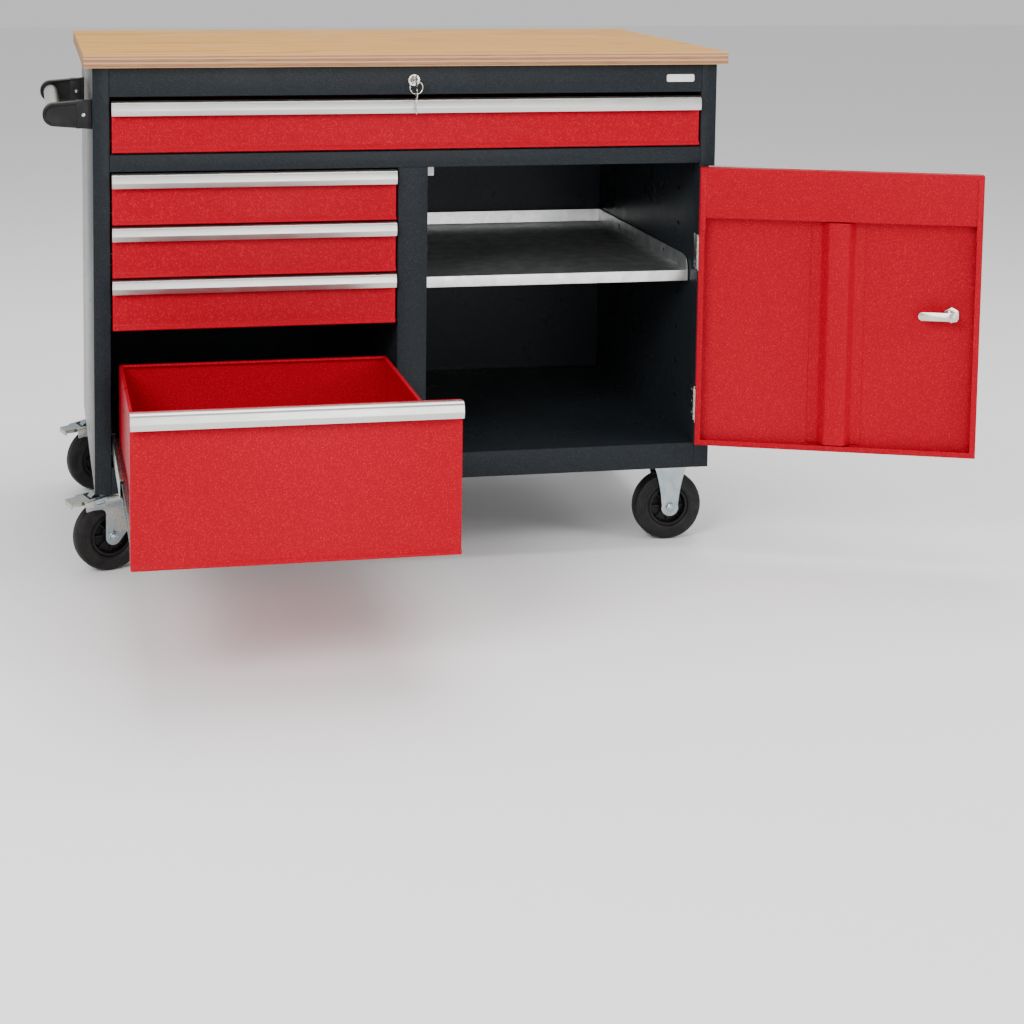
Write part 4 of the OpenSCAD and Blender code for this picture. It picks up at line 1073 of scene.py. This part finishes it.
# tyre section with two tread grooves, rounded shoulders and moulded rings on the side walls
def makeTyre(radius, v):
    w, rim = v["halfWide"], radius - v["rimDeep"]
    half = [(rim + v["fit"], w - 4 * mm), (rim + 1.5 * mm, w - 1.8 * mm), (rim + 4 * mm, w - 0.6 * mm),
            (rim + 5.0 * mm, w - 0.5 * mm), (rim + 5.5 * mm, w), (rim + 9.5 * mm, w - 0.1 * mm),
            (rim + 10.0 * mm, w - 0.9 * mm), (rim + 14.0 * mm, w - 1.0 * mm), (rim + 14.5 * mm, w - 1.9 * mm),
            (rim + 18.5 * mm, w - 2.2 * mm), (rim + 19.0 * mm, w - 3.0 * mm),
            (radius - 3.4 * mm, w - 4.2 * mm), (radius - 1.6 * mm, w - 6.4 * mm),
            (radius - 0.4 * mm, w - 9.4 * mm),
            (radius, w - 11.4 * mm), (radius, 6.3 * mm), (radius - 1.2 * mm, 6.0 * mm),
            (radius - 1.5 * mm, 5.5 * mm),
            (radius - 1.2 * mm, 5.0 * mm), (radius, 4.7 * mm)]
    outline = half + [(r, -h) for r, h in reversed(half)]
    return turnRound((0, 0, 0), (0, 1, 0), outline, 72, True)


def makeRim(radius, v):
    w, rim, hub, web = v["halfWide"], radius - v["rimDeep"], v["hub"], v["web"]
    long = v["hubWide"] / 2
    half = [(v["bore"], long), (hub - 1.5 * mm, long), (hub - 0.6 * mm, long - 0.8 * mm),
            (hub, web + 1.5 * mm),
            (hub + 1.5 * mm, web), (rim - 8 * mm, web), (rim - 6.2 * mm, web + 1.5 * mm),
            (rim - 5.4 * mm, w - 5.5 * mm),
            (rim - 4.6 * mm, w - 4.2 * mm), (rim - 1.0 * mm, w - 4.2 * mm), (rim, w - 5 * mm)]
    outline = half + [(r, -h) for r, h in reversed(half)]
    parts = [turnRound((0, 0, 0), (0, 1, 0), outline, 64, True)]
    shape = [(hub - 1 * mm, -w + 7 * mm), (rim - 6 * mm, -w + 9 * mm), (rim - 6 * mm, w - 9 * mm),
             (hub - 1 * mm, w - 7 * mm)]
    rib = cutPlate("Z", -1.1 * mm, 1.1 * mm, shape, 0.5 * mm)
    for i in range(v["ribs"]):
        parts.append(copyOf(rib, Matrix.Rotation(math.tau * i / v["ribs"], 4, "Y")))
    bpy.data.objects.remove(rib)
    return joinAll(parts)


wheelJoints = {"fl": "wheel_front_left", "rl": "wheel_rear_left", "fr": "wheel_front_right",
               "rr": "wheel_rear_right"}


def wheelPlace(joint):
    way = Vector(joint["axis"])
    turn = math.atan2(-way.x, way.y)
    return Matrix.Translation(joint["pos_m"]) @ Matrix.Rotation(turn, 4, "Z")


def makeWheels(v):
    low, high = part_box("tyre_fr")
    radius = (high.z - low.z) / 2
    tyre, rim = makeTyre(radius, v), makeRim(radius, v)
    for short, body in wheelJoints.items():
        place = wheelPlace(jointSpec[body + "_spin"])
        title = body.replace("wheel_", "").replace("_", "").title()
        finishPiece(copyOf(tyre, place), "tyre" + title, body, "tyreRubber", ["tyre_" + short], 32)
        finishPiece(copyOf(rim, place), "rim" + title, body, "blackPlastic",
                    ["rim_" + short], 35)
    bpy.data.objects.remove(tyre)
    bpy.data.objects.remove(rim)
    return radius


wheelRadius = makeWheels(wheelValues)
print("wheels made")

casterValues = {
    "plate": (105 * mm, 85 * mm, 3 * mm), "plateCorner": 8 * mm, "race": 31 * mm, "raceHigh": 8 * mm,
    "air": 0.4 * mm, "crown": 3 * mm, "leg": 2.5 * mm, "legIn": 21 * mm, "flare": 31 * mm, "boss": 14 * mm,
    "arm": 46 * mm,
    "bend": 4 * mm, "axle": 5 * mm, "nutAcross": 14.5 * mm, "nutHigh": 5.5 * mm,
}
pedalValues = {
    "x": 36 * mm, "down": 16.5 * mm, "air": 0.6 * mm, "wall": 1.6 * mm, "tilt": 9.0, "back": 14 * mm,
    "front": 24 * mm,
    "low": 6 * mm, "high": 12 * mm, "tabHalf": 17 * mm, "tabReach": 36 * mm, "tabDrop": 8 * mm,
    "pin": 2.9 * mm,
}
underside = sideLow.z


def casterPlate(v):
    wide, deep, thick = v["plate"]
    x, y = wide / 2, deep / 2
    outline = [(-x, -y), (x, -y), (x, y), (-x, y)]
    return cutPlate("Z", underside - thick, underside, outline, 0.6 * mm,
                    [(i, v["plateCorner"]) for i in range(4)])


# channel bent over the wheel, then trimmed to the outline of its legs
def bentFork(topZ, x0, x1, outline, corners, v):
    out = v["legIn"] + v["leg"]
    shape = [(-out, 0.02), (-out, topZ), (out, topZ), (out, 0.02)]
    channel = foldSheet("X", x0, x1, shape, v["leg"], v["bend"], (1, 0))
    cutter = cutPlate("Y", -out - 12 * mm, out + 12 * mm, outline, 0, corners)
    carve(channel, cutter, "INTERSECT")
    tidyNormals(channel)
    roundEdges(channel, 0.4 * mm, 2, 0.9)
    return channel


def bossArc(x, radius, first, last, count=14):
    return [(x + radius * math.cos(math.radians(first + (last - first) * i / count)),
             wheelRadius + radius * math.sin(math.radians(first + (last - first) * i / count)))
             for i in range(count + 1)]


def axleBolt(x, v):
    out = v["legIn"] + v["leg"]
    parts = [roundBar((x, -out - 1 * mm, wheelRadius), (x, out + 1 * mm, wheelRadius), v["axle"], 0)]
    for s in (-1, 1):
        at = Vector((x, s * out, wheelRadius))
        washer = turnRound(at, (0, s, 0), [(0, 0), (9.5 * mm, 0), (9.5 * mm, 0.9 * mm),
                                           (9.1 * mm, 1.2 * mm), (0, 1.2 * mm)], 32)
        parts += [washer, hexNut(at + Vector((0, s * 1.2 * mm, 0)), (0, s, 0), v["nutAcross"], v["nutHigh"],
                                 v["axle"])]
    return joinAll(parts)


def makeSwivelCasters(v, p):
    swivel = Vector(jointSpec["front_caster_swivel"]["pos_m"])
    wheel = Vector(jointSpec["wheel_front_left_spin"]["pos_m"])
    trail = math.hypot(swivel.x - wheel.x, swivel.y - wheel.y)
    headZ = underside - v["plate"][2] - v["raceHigh"] - v["air"]
    under = headZ - v["crown"]
    race, boss, low = v["race"], v["boss"], under - 23 * mm
    outline = [(-trail - boss + 0.5 * mm, under - 21 * mm), (-trail - v["arm"], under - 20 * mm),
               (-trail - v["arm"], under - 8 * mm), (-trail - 6 * mm, headZ + 1 * mm),
               (race + 2 * mm, headZ + 1 * mm),
               (race + 2 * mm, under - 4 * mm), (race - 2 * mm, low)] + bossArc(-trail, boss, -28, -180)
    fork = bentFork(headZ, -trail - v["arm"], race + 2 * mm, outline,
                    [(0, 9 * mm), (1, 4 * mm), (2, 4 * mm), (5, 5 * mm), (6, 6 * mm)], v)
    crown = turnRound((0, 0, under), (0, 0, 1), [
        (6.2 * mm, 0), (race * 0.7, 0), (race + 0.6 * mm, 0.4 * mm), (race + 1.8 * mm, 1.4 * mm),
        (race + 1.8 * mm, v["crown"] - 0.2 * mm),
        (race * 0.85, v["crown"]), (6.2 * mm, v["crown"])], 56, True)
    fork = joinAll([fork, crown, axleBolt(-trail, v)])

    wide, deep, thick = v["plate"]
    plateLow = underside - thick
    cup = turnRound((0, 0, headZ + v["air"]), (0, 0, 1), [
        (6 * mm, -0.2 * mm), (race - 3 * mm, 0), (race, 0.5 * mm), (race + 3.2 * mm, 2.1 * mm),
        (race + 4 * mm, 3.6 * mm),
        (race + 3.6 * mm, 5.4 * mm), (race + 0.6 * mm, 7.2 * mm), (race, v["raceHigh"]), (0, v["raceHigh"]),
        (0, -8.4 * mm),
        (8.4 * mm, -8.4 * mm), (10 * mm, -7.2 * mm), (10 * mm, -5.4 * mm), (6 * mm, -5.4 * mm)], 56, True)
    mountPart = joinAll([casterPlate(v), cup])

    out = v["legIn"] + v["leg"] + p["air"] + p["wall"]
    high, inner = p["high"], p["high"] - p["wall"]
    saddle = foldSheet("X", -p["back"], p["front"],
                       [(-out, -p["low"]), (-out, high), (out, high), (out, -p["low"])],
                       p["wall"], 2.2 * mm, (1, 0))
    carve(saddle, squareBlock((5 * mm, -out - 1 * mm, 1.5 * mm), (20 * mm, out + 1 * mm, 7.5 * mm),
                              1.2 * mm, 2))
    carve(saddle, squareBlock((-3 * mm, -out + 8 * mm, inner - 2 * mm),
                              (18 * mm, out - 8 * mm, high + 2 * mm), 1.5 * mm, 3))
    lug = foldSheet("Y", -9 * mm, 9 * mm, [(2 * mm, inner + 0.4 * mm), (9 * mm, high + 5.5 * mm),
                                           (13 * mm, high + 5.5 * mm), (18 * mm, inner)],
                    p["wall"], 2 * mm, (0.5, -1))
    far = p["tabReach"]
    tab = foldSheet("Y", -p["tabHalf"], p["tabHalf"],
                    [(-p["back"] + 3 * mm, high - 0.2 * mm), (-far + 1 * mm, high + 0.6 * mm),
                    (-far - 0.4 * mm, high - p["tabDrop"])], p["wall"] * 1.3, 1.8 * mm, (0, -1))
    sides = []
    for s in (-1, 1):
        plate = [(-far + 3 * mm, high - 5 * mm), (-p["back"] + 2 * mm, high - 8 * mm),
                 (-p["back"] + 2 * mm, high - 1 * mm), (-far + 3 * mm, high)]
        y = s * (p["tabHalf"] - 0.7 * mm)
        sides.append(cutPlate("Y", y - 0.7 * mm, y + 0.7 * mm, plate, 0.3 * mm))
    pedal = joinAll([saddle, lug, tab] + sides)
    pedal.data.transform(Matrix.Rotation(math.radians(-p["tilt"]), 4, "Y"))
    pin = roundBar((0, -out - 1.4 * mm, 0), (0, out + 1.4 * mm, 0), p["pin"], 0.6 * mm)
    pedal = joinAll([pedal, pin])
    pedal.data.transform(Matrix.Translation((-trail - p["x"], 0, headZ - p["down"])))

    turn = math.atan2(-jointSpec["wheel_front_left_spin"]["axis"][0],
                      jointSpec["wheel_front_left_spin"]["axis"][1])
    mounts = []
    for which in ("front", "rear"):
        at = Vector(jointSpec[which + "_caster_swivel"]["pos_m"])
        flat = Matrix.Translation((at.x, at.y, 0))
        turned = flat @ Matrix.Rotation(turn, 4, "Z")
        mounts.append(copyOf(mountPart, flat))
        finishPiece(copyOf(fork, turned), which + "SwivelFork", which + "_swivel", "zincPlate",
                    [which + "_fork"])
        finishPiece(copyOf(pedal, turned), which + "BrakePedal", which + "_brake", "zincPlate",
                    [which + "_pedal"])
    finishPiece(joinAll(mounts), "swivelPlates", "carcass", "zincPlate", ["caster_plates"])
    for made in (fork, mountPart, pedal):
        bpy.data.objects.remove(made)


def makeFixedCasters(v):
    boss, top = v["boss"] + 2 * mm, underside - v["plate"][2] * 0.5
    waist = underside - 36 * mm
    flare = v["flare"]
    outline = [(boss - 1 * mm, wheelRadius + 4 * mm), (20 * mm, waist), (flare, underside - 7 * mm),
               (flare, underside),
               (-flare, underside), (-flare, underside - 7 * mm), (-20 * mm, waist),
               (-boss + 1 * mm, wheelRadius + 4 * mm)] + bossArc(0, boss, 188, 352)
    fork = bentFork(top, -flare, flare, outline, [(1, 30 * mm), (2, 5 * mm), (5, 5 * mm), (6, 30 * mm)], v)
    parts = joinAll([fork, casterPlate(v)])
    placed = []
    for body in ("wheel_front_right", "wheel_rear_right"):
        at = Vector(jointSpec[body + "_spin"]["pos_m"])
        placed.append(copyOf(parts, Matrix.Translation((at.x, at.y, 0))))
    bpy.data.objects.remove(parts)
    finishPiece(joinAll(placed), "fixedForks", "carcass", "zincPlate", ["fixed_forks"])
    easedCopy("fasteners", "boltsAndScrews", "carcass", "zincPlate", 0.5 * mm)


makeSwivelCasters(casterValues, pedalValues)
makeFixedCasters(casterValues)
print("casters made")

trimValues = {"badge": (50 * mm, 13 * mm, 1.2 * mm), "badgeIn": 14 * mm, "bumper": (15 * mm, 8 * mm, 16 * mm),
              "bumperBack": 24 * mm, "bumperDown": 2 * mm}


# plain plate on the head rail and the rubber stop inside the cupboard
def makeTrim(v):
    wide, high, thick = v["badge"]
    x1, z = headHigh.x - v["badgeIn"], (headLow.z + headHigh.z) / 2
    outline = [(x1 - wide, z - high / 2), (x1, z - high / 2), (x1, z + high / 2), (x1 - wide, z + high / 2)]
    badge = cutPlate("Y", frontY - thick, frontY, outline, 0.4 * mm, [(i, 3 * mm) for i in range(4)])
    finishPiece(badge, "blankBadge", "carcass", "paleCap")
    bx, by, bz = v["bumper"]
    topZ = middleLow.z - v["bumperDown"]
    y = frontY + v["bumperBack"]
    stop = squareBlock((postHigh.x, y, topZ - bz), (postHigh.x + bx, y + by, topZ), 1.2 * mm, 3)
    finishPiece(stop, "doorStop", "carcass", "paleCap")


makeTrim(trimValues)
print("trim made")

studioValues = {"floor": 30.0, "floorTone": (0.90, 0.90, 0.90), "sky": (1.0, 1.0, 1.0), "skyPower": 0.72}
lightValues = {
    "frontSoftbox": {"place": (-2.4, -3.2, 2.8), "size": 1.8, "power": 150.0},
    "rightSoftbox": {"place": (3.4, -2.4, 2.2), "size": 1.6, "power": 75.0},
    "topSoftbox": {"place": (0.2, 0.2, 3.6), "size": 2.4, "power": 110.0},
    "frontFill": {"place": (0.5, -4.2, 1.0), "size": 1.6, "power": 40.0},
}


def makeStudio(v, lights):
    bpy.ops.mesh.primitive_plane_add(size=v["floor"])
    ground = bpy.context.object
    ground.name = "studioFloor"
    material, tree, shader = newMaterial("paleFloor", Roughness=0.7)
    shader.inputs["Base Color"].default_value = (*v["floorTone"], 1)
    ground.data.materials.append(material)
    world = bpy.data.worlds.new("studio")
    world.use_nodes = True
    back = world.node_tree.nodes["Background"]
    back.inputs["Color"].default_value = (*v["sky"], 1)
    back.inputs["Strength"].default_value = v["skyPower"]
    bpy.context.scene.world = world
    target = (cadLow + cadHigh) / 2
    for name, spec in lights.items():
        data = bpy.data.lights.new(name, "AREA")
        data.size, data.energy = spec["size"], spec["power"]
        lamp = bpy.data.objects.new(name, data)
        bpy.context.collection.objects.link(lamp)
        lamp.location = spec["place"]
        lamp.rotation_euler = (target - Vector(spec["place"])).to_track_quat("-Z", "Y").to_euler()


makeStudio(studioValues, lightValues)
print("studio made")
